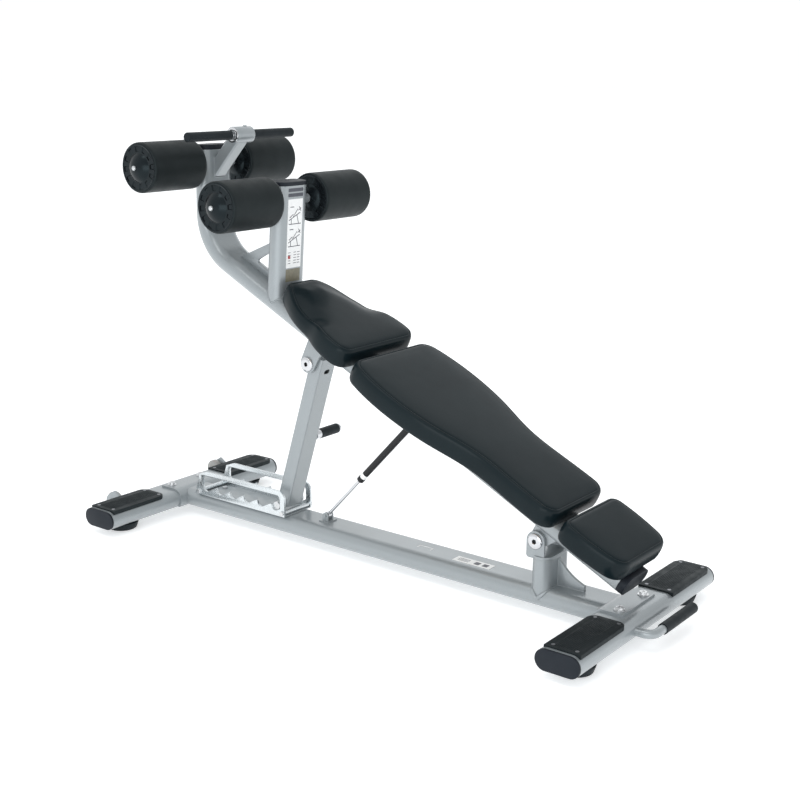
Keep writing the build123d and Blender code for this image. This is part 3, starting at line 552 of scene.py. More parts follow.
# How much each node's edges are broken, in millimetres
EDGE_WIDTHS = {
    "stabilizer_end_caps": 3.5,
    "beam_end_caps": 3.5,
    "front_tread_pads": 1.0,
    "rear_tread_pads": 1.0,
    "ladder_plate_left": 0.8,
    "ladder_plate_right": 0.8,
    "ladder_tray": 0.5,
    "pivot_yoke": 1.4,
    "post_gusset": 0.9,
    "mast_gusset": 0.9,
    "wheel_brackets": 0.9,
    "strut_bracket": 1.2,
    "rubber_feet": 3.0,
    "frame_bolts": 0.6,
    "bar_collar": 1.2,
    "transport_wheel_left": 1.0,
    "transport_wheel_right": 1.0,
}
for node, width in EDGE_WIDTHS.items():
    edged(node, width * MM)


# ---- Pads ----

PAD_UNDER = 0.029
SEAM_INSET = 0.0105
POCKET_INSET = 0.0143
BOARD_TOP = 0.0412
OUTLINE_STEP = 0.0035
FILL_STEP = 0.0065
# Parts of a fill step: from one row of points to the next, and from the rim to the first point
FILL_ROW = 0.866
FILL_MARGIN = 0.6

# Section of a pad's cover, as insets from its outer edge and heights over the beam's axis
PAD_WALL = [
    # From the board pocket round the hem
    (POCKET_INSET, BOARD_TOP), (POCKET_INSET, 0.0300), (0.0128, PAD_UNDER), (0.0085, PAD_UNDER),
    (0.0052, 0.0297), (0.0026, 0.0318), (0.0009, 0.0352),
    # Up the side, which bulges a little
    (0.0001, 0.0400), (-0.0005, 0.0460), (-0.0007, 0.0530), (-0.0004, 0.0600), (0.0002, 0.0660),
    # Round the top edge and down into the seam's groove
    (0.0010, 0.0705), (0.0022, 0.0740), (0.0040, 0.0768), (0.0061, 0.0785), (0.0080, 0.0792),
    (0.0093, 0.0791), (0.0100, 0.0788), (SEAM_INSET, 0.0784),
    # Out of the groove to the flat top
    (0.0110, 0.0788), (0.0117, 0.0794), (0.0130, 0.0799), (0.0155, 0.0804), (0.0190, 0.0808),
]
SEAM_RING = [inset for inset, _ in PAD_WALL].index(SEAM_INSET)
# A pad's own top shape is felt from the low height up the side, and in full from the high one
LIFT_LOW, LIFT_HIGH = 0.045, 0.072


def pad_outline(node):
    """The pad's outer edge in the beam's frame, read from the underside of its CAD solid."""
    work = bmesh.new()
    work.from_mesh(NODES[node].data)
    work.transform(BEAM.inverted())
    bmesh.ops.remove_doubles(work, verts=work.verts, dist=SAME_POINT)
    work.normal_update()
    under = [
        face for face in work.faces
        if face.normal.z < -0.99 and face.calc_center_median().z < PAD_UNDER + 0.001
    ]
    inside = set(under)
    links = {}
    for face in under:
        for edge in face.edges:
            if sum(other in inside for other in edge.link_faces) == 1:
                first, second = edge.verts
                links.setdefault(first, []).append(second)
                links.setdefault(second, []).append(first)
    start = max(links, key=lambda vert: abs(vert.co.y))
    loop = [start]
    before, here = start, links[start][0]
    while here is not start:
        loop.append(here)
        ahead = [vert for vert in links[here] if vert is not before]
        before, here = here, ahead[0]
    outline = [Vector((vert.co.x, vert.co.y)) for vert in loop]
    work.free()
    area = sum(a.x * b.y - b.x * a.y for a, b in zip(outline, outline[1:] + outline[:1]))
    return outline if area > 0 else outline[::-1]


def evenly(outline, step):
    """The same closed outline with its points spread evenly."""
    closed = outline + outline[:1]
    lengths = [(b - a).length for a, b in zip(closed, closed[1:])]
    total = sum(lengths)
    count = round(total / step)
    spaced = []
    segment, passed = 0, 0.0
    for index in range(count):
        target = total * index / count
        while passed + lengths[segment] < target:
            passed += lengths[segment]
            segment += 1
        spaced.append(closed[segment].lerp(closed[segment + 1], (target - passed) / lengths[segment]))
    return spaced


def inward_normals(outline):
    """Unit normals that point into a closed outline that runs anticlockwise."""
    count = len(outline)
    normals = []
    for index in range(count):
        along = outline[(index + 2) % count] - outline[index - 2]
        normals.append(Vector((-along.y, along.x)).normalized())
    return normals


CROWN_HEIGHT = 0.0012
CROWN_REACH = 0.030


def flat_top(s, inset):
    """How far a firm flat pad's cover is raised over the plain section: a soft crown."""
    return CROWN_HEIGHT * (1 - math.exp(-max(0.0, inset - SEAM_INSET) / CROWN_REACH))


# How the seat's edge dips, climbs and falls off down the beam: (change in height, from s, to s)
SEAT_EDGE = [(-0.009, -0.320, -0.235), (0.013, -0.205, -0.140), (-0.003, -0.070, -0.040)]
SEAT_MIDDLE = 0.0045
NOSE_DROP = 0.004
NOSE_START, NOSE_END = -0.29, -0.36
SEAT_SHOULDER = 0.062


def seat_top(s, inset):
    """The seat is raised along its middle, and its sides are low at the nose and high at the rear."""
    edge = sum(change * eased(start, end, s) for change, start, end in SEAT_EDGE)
    middle = SEAT_MIDDLE - NOSE_DROP * eased(NOSE_START, NOSE_END, s)
    rise = eased(SEAM_INSET, SEAT_SHOULDER, inset)
    return edge + (middle - edge) * rise


PADS = {"seat_pad": seat_top, "back_pad": flat_top, "head_pad": flat_top}


def pad_mesh(node, top):
    """Points and faces of a pad's cover, and the number of points in each ring of its wall.

    An even fill closes the wall over the top and in the board pocket."""
    outline = evenly(pad_outline(node), OUTLINE_STEP)
    normals = inward_normals(outline)
    count = len(outline)
    points = []
    for inset, height in PAD_WALL:
        for edge, normal in zip(outline, normals):
            place = edge + normal * inset
            lift = top(place.x, inset) * eased(LIFT_LOW, LIFT_HIGH, height)
            points.append(Vector((place.x, place.y, height + lift)))
    faces = ring_faces(len(PAD_WALL), count)
    tree = KDTree(count)
    for index, edge in enumerate(outline):
        tree.insert((edge.x, edge.y, 0), index)
    tree.balance()

    def inset_at(place):
        """How far a place lies inside the outline."""
        _, index, _ = tree.find((place.x, place.y, 0))
        offset = place - outline[index]
        return offset.dot(normals[index])

    def fill(ring, height_at):
        """Close one end ring with triangles on staggered rows of points."""
        start = ring * count
        rim = [points[start + step].xy for step in range(count)]
        limit = PAD_WALL[ring][0] + FILL_MARGIN * FILL_STEP
        low_s, high_s = min(p.x for p in rim), max(p.x for p in rim)
        low_y, high_y = min(p.y for p in rim), max(p.y for p in rim)
        inner = []
        rows = math.ceil((high_s - low_s) / (FILL_STEP * FILL_ROW))
        columns = math.ceil((high_y - low_y) / FILL_STEP)
        for row in range(rows + 1):
            for column in range(columns + 2):
                place = Vector((
                    low_s + row * FILL_STEP * FILL_ROW,
                    low_y + (column - 0.5 * (row % 2)) * FILL_STEP,
                ))
                if inset_at(place) > limit:
                    inner.append(place)
        edges = [(step, (step + 1) % count) for step in range(count)]
        flat, _, triangles, origins, _, _ = delaunay_2d_cdt(rim + inner, edges, [], 1, TINY)
        places = []
        for index, place in enumerate(flat):
            source = origins[index][0] if origins[index] else None
            if source is not None and source < count:
                places.append(start + source)
            else:
                places.append(len(points))
                points.append(Vector((place.x, place.y, height_at(place))))
        faces.extend(tuple(places[corner] for corner in triangle) for triangle in triangles)

    last_height = PAD_WALL[-1][1]
    fill(len(PAD_WALL) - 1, lambda place: last_height + top(place.x, inset_at(place)))
    fill(0, lambda place: BOARD_TOP)
    return points, faces, count


CLOTH_VOXEL = 0.006
CLOTH_FRAMES = 14
CLOTH_PRESSURE = 3.0
CLOTH_STIFFNESS = 30
CLOTH_BENDING = 2
SWELL_LIMIT = 0.0013
NEAREST = 10
# What is held still: close to the seam, close over the underside, and the bottom of the board pocket
SEAM_HOLD = 1.2 * CLOTH_VOXEL
HEM_HOLD = PAD_UNDER + 0.004
POCKET_HOLD = BOARD_TOP + 0.002
POCKET_FROM_SEAM = 0.06


def swollen(points, faces, count):
    """A cover's points after a short cloth run with air pressure inside, held at its seam, hem and pocket.

    The run is made on an even voxel copy, and its movement is passed to the real mesh's points. The count
    is the number of points in each ring of the wall."""
    mesh = bpy.data.meshes.new("cover_for_simulation")
    mesh.from_pydata([tuple(point) for point in points], [], faces)
    proxy = bpy.data.objects.new("cover_for_simulation", mesh)
    collection.objects.link(proxy)
    remesh = proxy.modifiers.new("even", "REMESH")
    remesh.mode = "VOXEL"
    remesh.voxel_size = CLOTH_VOXEL
    bpy.context.view_layer.update()
    even = bpy.data.meshes.new_from_object(proxy.evaluated_get(bpy.context.evaluated_depsgraph_get()))
    proxy.modifiers.clear()
    proxy.data = even
    rest = [vert.co.copy() for vert in even.vertices]

    seam = KDTree(count)
    for step in range(count):
        seam.insert(points[SEAM_RING * count + step], step)
    seam.balance()
    held = proxy.vertex_groups.new(name="held")
    for index, place in enumerate(rest):
        from_seam = seam.find(place)[2]
        in_pocket = place.z < POCKET_HOLD and from_seam > POCKET_FROM_SEAM
        if from_seam < SEAM_HOLD or place.z < HEM_HOLD or in_pocket:
            held.add([index], 1.0, "REPLACE")

    cloth = proxy.modifiers.new("cloth", "CLOTH")
    cloth.settings.vertex_group_mass = "held"
    cloth.settings.use_pressure = True
    cloth.settings.uniform_pressure_force = CLOTH_PRESSURE
    cloth.settings.effector_weights.gravity = 0
    cloth.settings.tension_stiffness = CLOTH_STIFFNESS
    cloth.settings.compression_stiffness = CLOTH_STIFFNESS
    cloth.settings.bending_stiffness = CLOTH_BENDING
    cloth.point_cache.frame_start = 1
    cloth.point_cache.frame_end = CLOTH_FRAMES
    scene = bpy.context.scene
    for number in range(1, CLOTH_FRAMES + 1):
        scene.frame_set(number)
    puffed = proxy.evaluated_get(bpy.context.evaluated_depsgraph_get()).to_mesh()
    moves = []
    for vert, place in zip(puffed.vertices, rest):
        move = vert.co - place
        length = move.length
        if length > TINY:
            move = move * (SWELL_LIMIT * (1 - math.exp(-length / SWELL_LIMIT)) / length)
        moves.append(move)
    scene.frame_set(1)
    bpy.data.objects.remove(proxy)

    tree = KDTree(len(rest))
    for index, place in enumerate(rest):
        tree.insert(place, index)
    tree.balance()
    result = []
    for point in points:
        total, weight = Vector((0, 0, 0)), 0.0
        for _, index, distance in tree.find_n(point, NEAREST):
            share = 1 / (distance * distance + CLOTH_VOXEL ** 2 / 4)
            total += moves[index] * share
            weight += share
        result.append(point + total / weight)
    return result


for node, top in PADS.items():
    points, faces, count = pad_mesh(node, top)
    points = swollen(points, faces, count)
    pad = piece(node + "_cover", points, faces, "bench", "vinyl", place=BEAM, sharp=60)
    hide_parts(node)


# ---- Rollers ----

DISC_RADIUS = 0.0603
DISC_THICKNESS = 0.005
DISC_EDGE = 0.0045
DOME_RADIUS = 0.037
DOME_STEPS = 9
DOME_RISE_OUTER = 0.015
DOME_RISE_INNER = 0.011
POCKET_LOW, POCKET_HIGH = 0.0412, 0.0540
POCKET_EDGE = 0.0008
POCKETS = 12
POCKET_SHARE = 0.45
POCKET_DEPTH = 0.0022
BOLT_BORE = 0.0046
BOLT_SEAT = 0.0152
BOLT_RADIUS = 0.0063
SHAFT_BORE = 0.0103
SHAFT_STOP = 0.004
SPOOL_RADIUS = 0.022
SLEEVE_BORE = 0.024
SLEEVE_END = 0.0052
AXIS_HOLE = 0.0002

# Rolled rim of an end disc: steps from its radius, and out from its face
DISC_RIM = [(-0.0042, 0.0004), (-0.0030, 0.0011), (-0.0016, 0.0012), (-0.0005, 0.0006), (0.0, -0.0008)]
# Rolled lip of a foam sleeve: steps from the lip's own radius, and in from the sleeve's end
LIP_DEPTH = 0.0037
SLEEVE_LIP = [
    (-0.0030, 0.0046), (-0.0034, 0.0020), (-0.0024, 0.0006), (-0.0010, 0.0), (0.0008, 0.0002),
    (0.0022, 0.0014), (0.0031, 0.0034), (0.0036, 0.0064), (LIP_DEPTH, 0.0100),
]
# Domed bolt head on the end of a spool: radii, and heights over the disc's face
BOLT_DOME = [
    (AXIS_HOLE, 0.0200), (0.0016, 0.0199), (0.0034, 0.0195), (0.0050, 0.0187), (0.0060, 0.0174),
    (BOLT_RADIUS, 0.0158),
]


def pocket_dent(face_low, face_high):
    """Pressed pockets in both end discs, evenly spaced round the dome."""
    def dent(radius, y, angle):
        if not POCKET_LOW <= radius <= POCKET_HIGH:
            return 0.0
        turn = (angle * POCKETS / (2 * math.pi)) % 1.0
        if turn > POCKET_SHARE:
            return 0.0
        if abs(y - face_high) < SAME_POINT:
            return -POCKET_DEPTH
        if abs(y - face_low) < SAME_POINT:
            return POCKET_DEPTH
        return 0.0
    return dent


def disc_profile(face, outward, rise, bore):
    """One end of the spool from its bore over the dome and out to the rim: (radius, y)."""
    ball = (DOME_RADIUS ** 2 + rise ** 2) / (2 * rise)
    profile = []
    for step in range(DOME_STEPS + 1):
        radius = bore + (DOME_RADIUS - bore) * step / DOME_STEPS
        height = rise - ball + math.sqrt(ball ** 2 - radius ** 2)
        profile.append((radius, face + outward * height))
    rings = [
        DOME_RADIUS + 0.0012, POCKET_LOW - POCKET_EDGE, POCKET_LOW, POCKET_HIGH, POCKET_HIGH + POCKET_EDGE,
    ]
    profile += [(radius, face) for radius in rings]
    profile += [(DISC_RADIUS + dr, face + outward * dy) for dr, dy in DISC_RIM]
    profile.append((DISC_RADIUS, face - outward * DISC_EDGE))
    return profile


def make_roller(level, side_name, side):
    """A spool with its foam sleeve, and the fixed bolt in its end. Profiles are drawn on the left side."""
    name = f"{level}_{side_name}"
    foam_node = "roller_foam_" + name
    body = name + "_roller"
    low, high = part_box(foam_node)
    x, z, _ = axis_of(foam_node)
    inner, outer = sorted((abs(low.y), abs(high.y)))
    radius = (high.z - low.z) / 2

    spool = disc_profile(outer, 1, DOME_RISE_OUTER, BOLT_BORE)
    spool += [(SPOOL_RADIUS, outer - DISC_THICKNESS), (SPOOL_RADIUS, inner + DISC_THICKNESS)]
    spool += disc_profile(inner, -1, DOME_RISE_INNER, SHAFT_BORE)[::-1]
    spool += [(SHAFT_BORE, outer - SHAFT_STOP), (BOLT_BORE, outer - SHAFT_STOP)]
    points, faces = lathe(spool, 180, x, z, side, pocket_dent(inner, outer))
    core = piece("roller_spool_" + name, points, faces, body, "hub_plastic")
    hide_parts("roller_core_" + name)

    start = radius - LIP_DEPTH
    skin = [(start + dr, inner + dy) for dr, dy in SLEEVE_LIP]
    skin += [(radius, inner + (outer - inner) * share) for share in (0.25, 0.5, 0.75)]
    skin += [(start + dr, outer - dy) for dr, dy in SLEEVE_LIP[::-1]]
    skin += [(SLEEVE_BORE, outer - SLEEVE_END), (SLEEVE_BORE, inner + SLEEVE_END)]
    points, faces = lathe(skin, 128, x, z, side)
    foam = piece("roller_sleeve_" + name, points, faces, body, "roller_foam", sharp=50)
    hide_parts(foam_node)

    head = [(dr, outer + dy) for dr, dy in BOLT_DOME]
    head += [(BOLT_RADIUS, outer + BOLT_SEAT), (AXIS_HOLE, outer + BOLT_SEAT)]
    points, faces = lathe(head, 32, x, z, side)
    piece("roller_end_bolt_" + name, points, faces, "bench", "bright_steel")


for level in ("upper", "lower"):
    for side_name, side in (("left", 1), ("right", -1)):
        make_roller(level, side_name, side)


# ---- Domed pivot caps with hexagon sockets ----

CAP_RADIUS = 0.0195
CAP_DEPTH = 0.007
CAP_SEGMENTS = 72
CAP_MIDDLE = 0.0005
SOCKET_FLAT = 0.0052
SOCKET_BOTTOM = CAP_DEPTH - 0.0042
SOCKET_TURN = math.radians(15)
HINGE_RADIUS = 0.008
# Near black finish for the lining of each hexagon socket: painted shade inside the recess
SOCKET_PAINTED_SHADE = rubber("socket_painted_shade", (0.012, 0.012, 0.013), 700)
# Rings from the socket's middle over the dome to the seat: (radius, y from the seat, follows the hexagon)
CAP_RINGS = [
    (CAP_MIDDLE, SOCKET_BOTTOM, False), (SOCKET_FLAT, SOCKET_BOTTOM, True),
    (SOCKET_FLAT, CAP_DEPTH - 0.0008, True), (SOCKET_FLAT + 0.0007, CAP_DEPTH, True),
    (0.0085, CAP_DEPTH + 0.0002, False), (0.0120, CAP_DEPTH - 0.0001, False),
    (0.0152, CAP_DEPTH - 0.0008, False), (0.0176, CAP_DEPTH - 0.0019, False),
    (0.0190, CAP_DEPTH - 0.0035, False), (CAP_RADIUS, CAP_DEPTH - 0.0052, False),
    (CAP_RADIUS, 0.0, False), (CAP_MIDDLE, 0.0, False),
]


def socket_cap(x, seat, z, side):
    """Points and faces of one cap, and the numbers of the faces that line its socket."""
    points = []
    for radius, y, hexagonal in CAP_RINGS:
        for step in range(CAP_SEGMENTS):
            angle = 2 * math.pi * step / CAP_SEGMENTS
            reach = radius
            if hexagonal:
                reach = radius / math.cos((angle + SOCKET_TURN) % (math.pi / 3) - math.pi / 6)
            points.append((x + reach * math.cos(angle), side * (seat + y), z + reach * math.sin(angle)))
    faces = ring_faces(len(CAP_RINGS), CAP_SEGMENTS)
    faces += [face[::-1] for face in end_faces(len(CAP_RINGS), CAP_SEGMENTS)]
    lining = list(range(2 * CAP_SEGMENTS)) + [len(faces) - 2]
    return points, faces, lining


def make_caps(name, node, x, z, seat, shaft_radius=None):
    """A pair of caps on one pivot, with the plain bolt between them where the node holds it."""
    parts, lining = [], []
    for side in (-1, 1):
        points, faces, lined = socket_cap(x, seat, z, side)
        start = sum(len(some) for _, some in parts)
        lining += [start + index for index in lined]
        parts.append((points, faces))
    if shaft_radius:
        rod = [(shaft_radius, -seat), (shaft_radius, seat), (CAP_MIDDLE, seat), (CAP_MIDDLE, -seat)]
        parts.append(lathe(rod, 48, x, z))
    points, faces = join(parts)
    caps = piece(name, points, faces, BODY_OF[node], "chrome", sharp=40)
    # The faces that line the sockets take the painted shade
    caps.data.materials.append(SOCKET_PAINTED_SHADE)
    for index in lining:
        caps.data.polygons[index].material_index = 1
    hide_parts(node)


x, z, reach = axis_of("pivot_axle")
make_caps("pivot_socket_caps", "pivot_caps", x, z, reach)
x, z, reach = axis_of("strut_hinge_bolt")
make_caps("hinge_socket_bolt", "strut_hinge_bolt", x, z, reach - CAP_DEPTH, HINGE_RADIUS)


# ---- Tread ribs ----

TREAD_INNER_END = {"front_tread_pads": 0.111, "rear_tread_pads": 0.127}
RIB_PITCH = 0.0047
RIBS = 11
RIB_MARGIN = 0.009
RIB_FADE = 0.003
RIB_TIP_WIDTH = 0.4
RIB_SINK = 0.0004
RIB_SECTION = [
    (-0.00125, -RIB_SINK), (-0.0009, 0.00035), (-0.0004, 0.0007),
    (0.0004, 0.0007), (0.0009, 0.00035), (0.00125, -RIB_SINK),
]


def rib(x, low, high, top):
    """A rounded rib along Y that narrows and sinks into the pad at both ends."""
    points = []
    stations = [(low, RIB_TIP_WIDTH), (low + RIB_FADE, 1.0), (high - RIB_FADE, 1.0), (high, RIB_TIP_WIDTH)]
    for y, width in stations:
        for dx, dz in RIB_SECTION:
            points.append((x + dx * width, y, top + (dz if width == 1.0 else -RIB_SINK)))
    rings, count = len(stations), len(RIB_SECTION)
    return points, ring_faces(rings, count) + end_faces(rings, count)


for node, inner in TREAD_INNER_END.items():
    low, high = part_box(node)
    middle = (low.x + high.x) / 2
    for side_name, side in (("left", 1), ("right", -1)):
        ends = sorted((side * (inner + RIB_MARGIN), side * (high.y - RIB_MARGIN)))
        ribs = [
            rib(middle + (index - (RIBS - 1) / 2) * RIB_PITCH, *ends, high.z)
            for index in range(RIBS)
        ]
        points, faces = join(ribs)
        piece(f"{node}_ribs_{side_name}", points, faces, "base", "tread_rubber")


# ---- Weld beads, under the same paint as the tubes ----

POST_X = 0.504
BASE_AXIS_Z = 0.045
BASE_TOP = 0.070
GUSSET_TOP = 0.134
GUSSET_HALF = 0.004
GUSSET_START_X = 0.529
GUSSET_END_X = 0.600
MAST_TOP = Vector((-0.309, 0, 0.952))
MAST_LEAN = math.radians(3.6)
MAST_AXIS = Vector((math.sin(MAST_LEAN), 0, math.cos(MAST_LEAN)))
MAST_FACE = Vector((math.cos(MAST_LEAN), 0, -math.sin(MAST_LEAN)))
ARM_FOOT = Vector((-0.5555, 0, 0.9826))
WELD = 0.0022
ARM_WELD = 0.0018
ARM_HALF_WIDTH, ARM_HALF_HEIGHT, ARM_CORNER = 0.0200, 0.0259, 0.005
GUSSET_WELD = 0.0016
# The post's weld gets thicker where the post and the base tube curve away from each other
WELD_GROWS = (0.038, 0.054)
WELD_EXTRA = 0.0030
POST_RIPPLE = 0.07
SMOOTH_ALL = 80


def tube_edge(steps=130):
    """Points round a flat oval tube's section, as (along the depth, across) pairs.

    They run up one flat side and round one end, and then the same on the other side."""
    flat = TUBE_HALF_WIDTH - TUBE_HALF_DEPTH
    half = []
    for step in range(steps):
        run = (2 * flat + math.pi * TUBE_HALF_DEPTH) * step / steps - flat
        turn = max(0.0, run - flat) / TUBE_HALF_DEPTH
        half.append((TUBE_HALF_DEPTH * math.cos(turn), min(run, flat) + TUBE_HALF_DEPTH * math.sin(turn)))
    return half + [(-depth, -y) for depth, y in half]


def tube_height(y):
    """Height of a flat oval tube's surface over its axis, at a distance across it."""
    over = max(0.0, abs(y) - (TUBE_HALF_WIDTH - TUBE_HALF_DEPTH))
    return math.sqrt(max(0.0, TUBE_HALF_DEPTH ** 2 - over ** 2))


def post_weld():
    """Where the upright post's section meets the base beam."""
    return [Vector((POST_X + depth, y, BASE_AXIS_Z + tube_height(y))) for depth, y in tube_edge()]


def mast_weld():
    """Where the lower mast's section meets the sloping beam."""
    to_beam = BEAM.inverted()
    path = []
    for depth, y in tube_edge():
        top = MAST_TOP + MAST_FACE * depth + Vector((0, y, 0))
        high = (to_beam @ top).z
        fall = (to_beam.to_3x3() @ MAST_AXIS).z
        path.append(top - MAST_AXIS * ((high - tube_height(y)) / fall))
    return path


def arm_weld():
    """Rectangle with round corners where the grip arm meets the J shaped beam's upper end."""
    path = []
    for centre_y, centre_z, start in ((1, 1, 0), (-1, 1, 90), (-1, -1, 180), (1, -1, 270)):
        for step in range(6):
            turn = math.radians(start + 18 * step)
            path.append(ARM_FOOT + Vector((
                0,
                centre_y * (ARM_HALF_WIDTH - ARM_CORNER) + ARM_CORNER * math.cos(turn),
                centre_z * (ARM_HALF_HEIGHT - ARM_CORNER) + ARM_CORNER * math.sin(turn),
            )))
    closed = path + path[:1]
    return [place for start, end in zip(closed, closed[1:]) for place in between(start, end)[:-1]]


def gusset_welds():
    """Along the foot and the upright edge of the post's gusset, on both its faces."""
    runs = []
    for y in (-GUSSET_HALF, GUSSET_HALF):
        corner = Vector((GUSSET_START_X, y, BASE_TOP))
        runs.append(between(corner, Vector((GUSSET_START_X, y, GUSSET_TOP))))
        runs.append(between(corner, Vector((GUSSET_END_X, y, BASE_TOP))))
    return runs


post_path = post_weld()
post_radii = [WELD + WELD_EXTRA * eased(*WELD_GROWS, abs(point.y)) for point in post_path]
post_bead = bead(post_path, post_radii, closed=True, ripple=POST_RIPPLE)
points, faces = join([post_bead] + [bead(run, GUSSET_WELD) for run in gusset_welds()])
piece("post_weld_beads", points, faces, "base", "frame_paint", sharp=SMOOTH_ALL)
points, faces = join([bead(mast_weld(), WELD, closed=True), bead(arm_weld(), ARM_WELD, closed=True)])
piece("mast_weld_beads", points, faces, "bench", "frame_paint", sharp=SMOOTH_ALL)


# ---- Bright ring on the hand grip's collar ----

COLLAR_END = 0.031
COLLAR_BORE = 0.0128
COLLAR_RING = [
    (COLLAR_BORE, COLLAR_END - 0.001), (0.0200, COLLAR_END - 0.001), (0.0203, COLLAR_END + 0.0012),
    (0.0192, COLLAR_END + 0.0030), (0.0160, COLLAR_END + 0.0036), (COLLAR_BORE, COLLAR_END + 0.0030),
]
x, z, _ = axis_of("bar_grips")
points, faces = lathe(COLLAR_RING, 64, x, z, side=-1)
piece("collar_end_ring", points, faces, "bench", "chrome")


# ---- Gas spring: guide ring and pale band at the cylinder's open end ----

GAS_LOW = Vector((-0.1815, 0, 0.086))
GAS_HIGH = Vector((0.0985, 0, 0.389))
GAS_CYLINDER_START = 0.162
GAS_TURN = Vector((0, 1, 0)).rotation_difference(GAS_HIGH - GAS_LOW).to_matrix().to_4x4()
GAS_PLACE = Matrix.Translation(GAS_LOW) @ GAS_TURN
GAS_WALL = 0.002
GAS_CHAMFER, GAS_SLOPE = 0.0004, 0.0006


def gas_sleeve(name, start, length, radius, slot, finish=None):
    """A short sleeve round the gas spring, a distance up from its lower eye."""
    end = start + length
    half = [(radius - GAS_WALL, 0.0), (radius - GAS_CHAMFER, 0.0), (radius, GAS_SLOPE)]
    profile = [(r, start + y) for r, y in half] + [(r, end - y) for r, y in half[::-1]]
    points, faces = lathe(profile, 48, 0.0, 0.0)
    piece(name, points, faces, "gas_cylinder", slot, finish=finish, place=GAS_PLACE)


WHITE_FILM = label_film("white_label_film", (0.93, 0.94, 0.94), (0.86, 0.87, 0.87))
gas_sleeve("gas_spring_guide", GAS_CYLINDER_START + 0.0005, 0.013, 0.0100, "black_steel")
gas_sleeve("gas_spring_band", GAS_CYLINDER_START + 0.0138, 0.014, 0.0093, "wheel_nylon", WHITE_FILM)


# ---- Plain stickers with generic marks ----

GREY_INK = label_film("grey_label_ink", (0.07, 0.075, 0.095), (0.05, 0.055, 0.07))
BRONZE_FILM = label_film("bronze_label_film", (0.2, 0.185, 0.13), (0.15, 0.14, 0.1))
RED_INK = label_film("red_label_ink", (0.42, 0.05, 0.05), (0.3, 0.03, 0.03))
FILM = 0.00025
INK = 0.00012
LABEL_GAP = 0.0001


def slab(place, outline, lift, thick):
    """Points and faces of a flat shape in a plane, lifted off it and this thick."""
    points = [place @ Vector((x, y, height)) for height in (lift, lift + thick) for x, y in outline]
    return points, end_faces(2, len(outline)) + ring_faces(2, len(outline))


def plate_at(place, low, high, lift=0.0, corner=0.0015):
    """Thin sticker with round corners in a plane, from its low and high corners."""
    outline = []
    corners = [(high[0], high[1]), (low[0], high[1]), (low[0], low[1]), (high[0], low[1])]
    for start, (x, y) in zip((0, 90, 180, 270), corners):
        inward_x = -corner if x == high[0] else corner
        inward_y = -corner if y == high[1] else corner
        for step in range(5):
            turn = math.radians(start + 22.5 * step)
            outline.append((x + inward_x + corner * math.cos(turn), y + inward_y + corner * math.sin(turn)))
    return slab(place, outline, lift, FILM)


def stroke(place, start, end, width, lift=FILM):
    """Thin straight line of ink in a plane."""
    start, end = Vector(start), Vector(end)
    across = Vector((-(end - start).y, (end - start).x)).normalized() * width / 2
    return slab(place, [start - across, end - across, end + across, start + across], lift, INK)


def sticker(name, parts, finish, body):
    """Plates and strokes in one finish as one piece."""
    points, faces = join(parts)
    piece(name, points, faces, body, "wheel_nylon", finish=finish)


# Mast label plane: x to the bench's left, y up the mast, z out of its face
MAST_LABEL_DOWN = 0.108
MAST_LABEL_HALF = 0.028
mast_label = Matrix.Translation(
    MAST_TOP - MAST_AXIS * MAST_LABEL_DOWN + MAST_FACE * (TUBE_HALF_DEPTH + LABEL_GAP)
) @ Matrix((Vector((0, 1, 0)), MAST_AXIS, MAST_FACE)).transposed().to_4x4()


def mast_plate(low_y, high_y, right=MAST_LABEL_HALF):
    """A sticker across the mast's flat face, between two heights."""
    return plate_at(mast_label, (-MAST_LABEL_HALF, low_y), (right, high_y))


sticker("mast_placard", [mast_plate(-0.104, 0.074)], WHITE_FILM, "bench")
sticker("mast_placard_bars", [mast_plate(y, y + 0.009) for y in (0.080, 0.093)], GREY_INK, "bench")
sticker("mast_foot_patch", [mast_plate(-0.140, -0.107, right=0.026)], BRONZE_FILM, "bench")

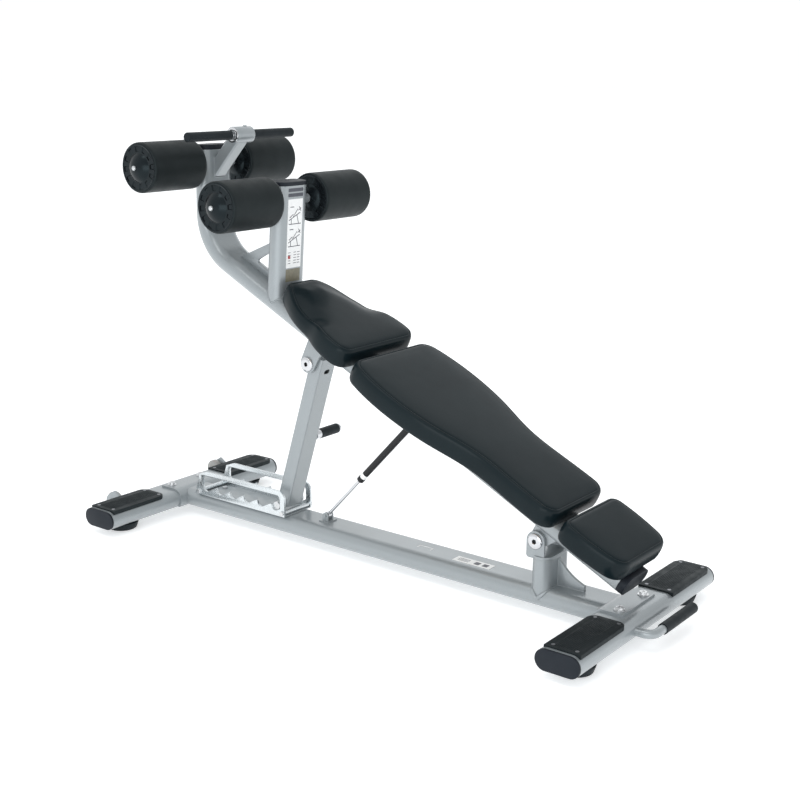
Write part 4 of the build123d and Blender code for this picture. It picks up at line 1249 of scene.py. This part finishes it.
# The placard's two diagrams of a bench, as plain strokes, and rows of short bars under them
DIAGRAM_HEIGHTS = (0.020, -0.038)
DIAGRAM = [
    ((-0.023, 0.0), (0.020, 0.019)), ((-0.023, -0.010), (0.023, -0.010)),
    ((-0.014, 0.003), (-0.014, -0.010)), ((0.007, 0.013), (0.014, -0.010)),
    ((0.012, 0.024), (0.022, 0.030)), ((-0.007, 0.009), (0.010, 0.028)),
    ((-0.019, 0.034), (-0.005, 0.034)), ((-0.020, 0.007), (-0.007, 0.015)),
    ((0.015, 0.034), (0.022, 0.022)),
]
BAR_COLUMNS = (-0.017, 0.004, 0.018)
BAR_HALF = 0.005
BAR_ROWS = [-0.064 - 0.007 * row for row in range(5)]
marks = [
    stroke(mast_label, (x0, y0 + rise), (x1, y1 + rise), 0.0021)
    for rise in DIAGRAM_HEIGHTS for (x0, y0), (x1, y1) in DIAGRAM
]
marks += [
    stroke(mast_label, (column - BAR_HALF, y), (column + BAR_HALF, y), 0.0016)
    for column in BAR_COLUMNS for y in BAR_ROWS
]
sticker("mast_placard_lines", marks, GREY_INK, "bench")
spot = plate_at(mast_label, (-0.022, -0.080), (-0.013, -0.072), lift=FILM + LABEL_GAP, corner=0.0005)
sticker("mast_placard_spot", [spot], RED_INK, "bench")

# Base label planes: x along the base, y to the bench's left, z up
base_label = Matrix.Translation((0.295, -0.011, BASE_TOP + LABEL_GAP))
sticker("base_sticker", [plate_at(base_label, (-0.054, -0.0155), (0.054, 0.0155))], WHITE_FILM, "base")
marks = [stroke(base_label, (-0.044, y), (-0.012, y), 0.0022) for y in (-0.006, 0.0, 0.006)]
marks += [plate_at(base_label, (x, -0.008), (x + 0.015, 0.008), FILM, 0.0012) for x in (0.004, 0.028)]
sticker("base_sticker_marks", marks, GREY_INK, "base")
small_label = Matrix.Translation((0.142, -0.002, BASE_TOP + LABEL_GAP))
SMALL_FRAME = [
    ((-0.020, -0.007), (-0.020, 0.007)), ((-0.021, 0.007), (0.021, 0.007)),
    ((0.020, 0.007), (0.020, -0.007)),
]
marks = [stroke(small_label, start, end, 0.003, lift=0.0) for start, end in SMALL_FRAME]
sticker("base_small_mark", marks, WHITE_FILM, "base")


# ---- Every other CAD node keeps its shape and takes its finish ----

# The tread screws are duller than the other bright steel
OWN_FINISH = {"tread_screws": plated("dull_plated_steel", (0.3, 0.31, 0.33), 0.42)}
for node, shape in NODES.items():
    shape.data.materials.clear()
    shape.data.materials.append(OWN_FINISH.get(node, FINISHES[SLOT_OF[node]]))
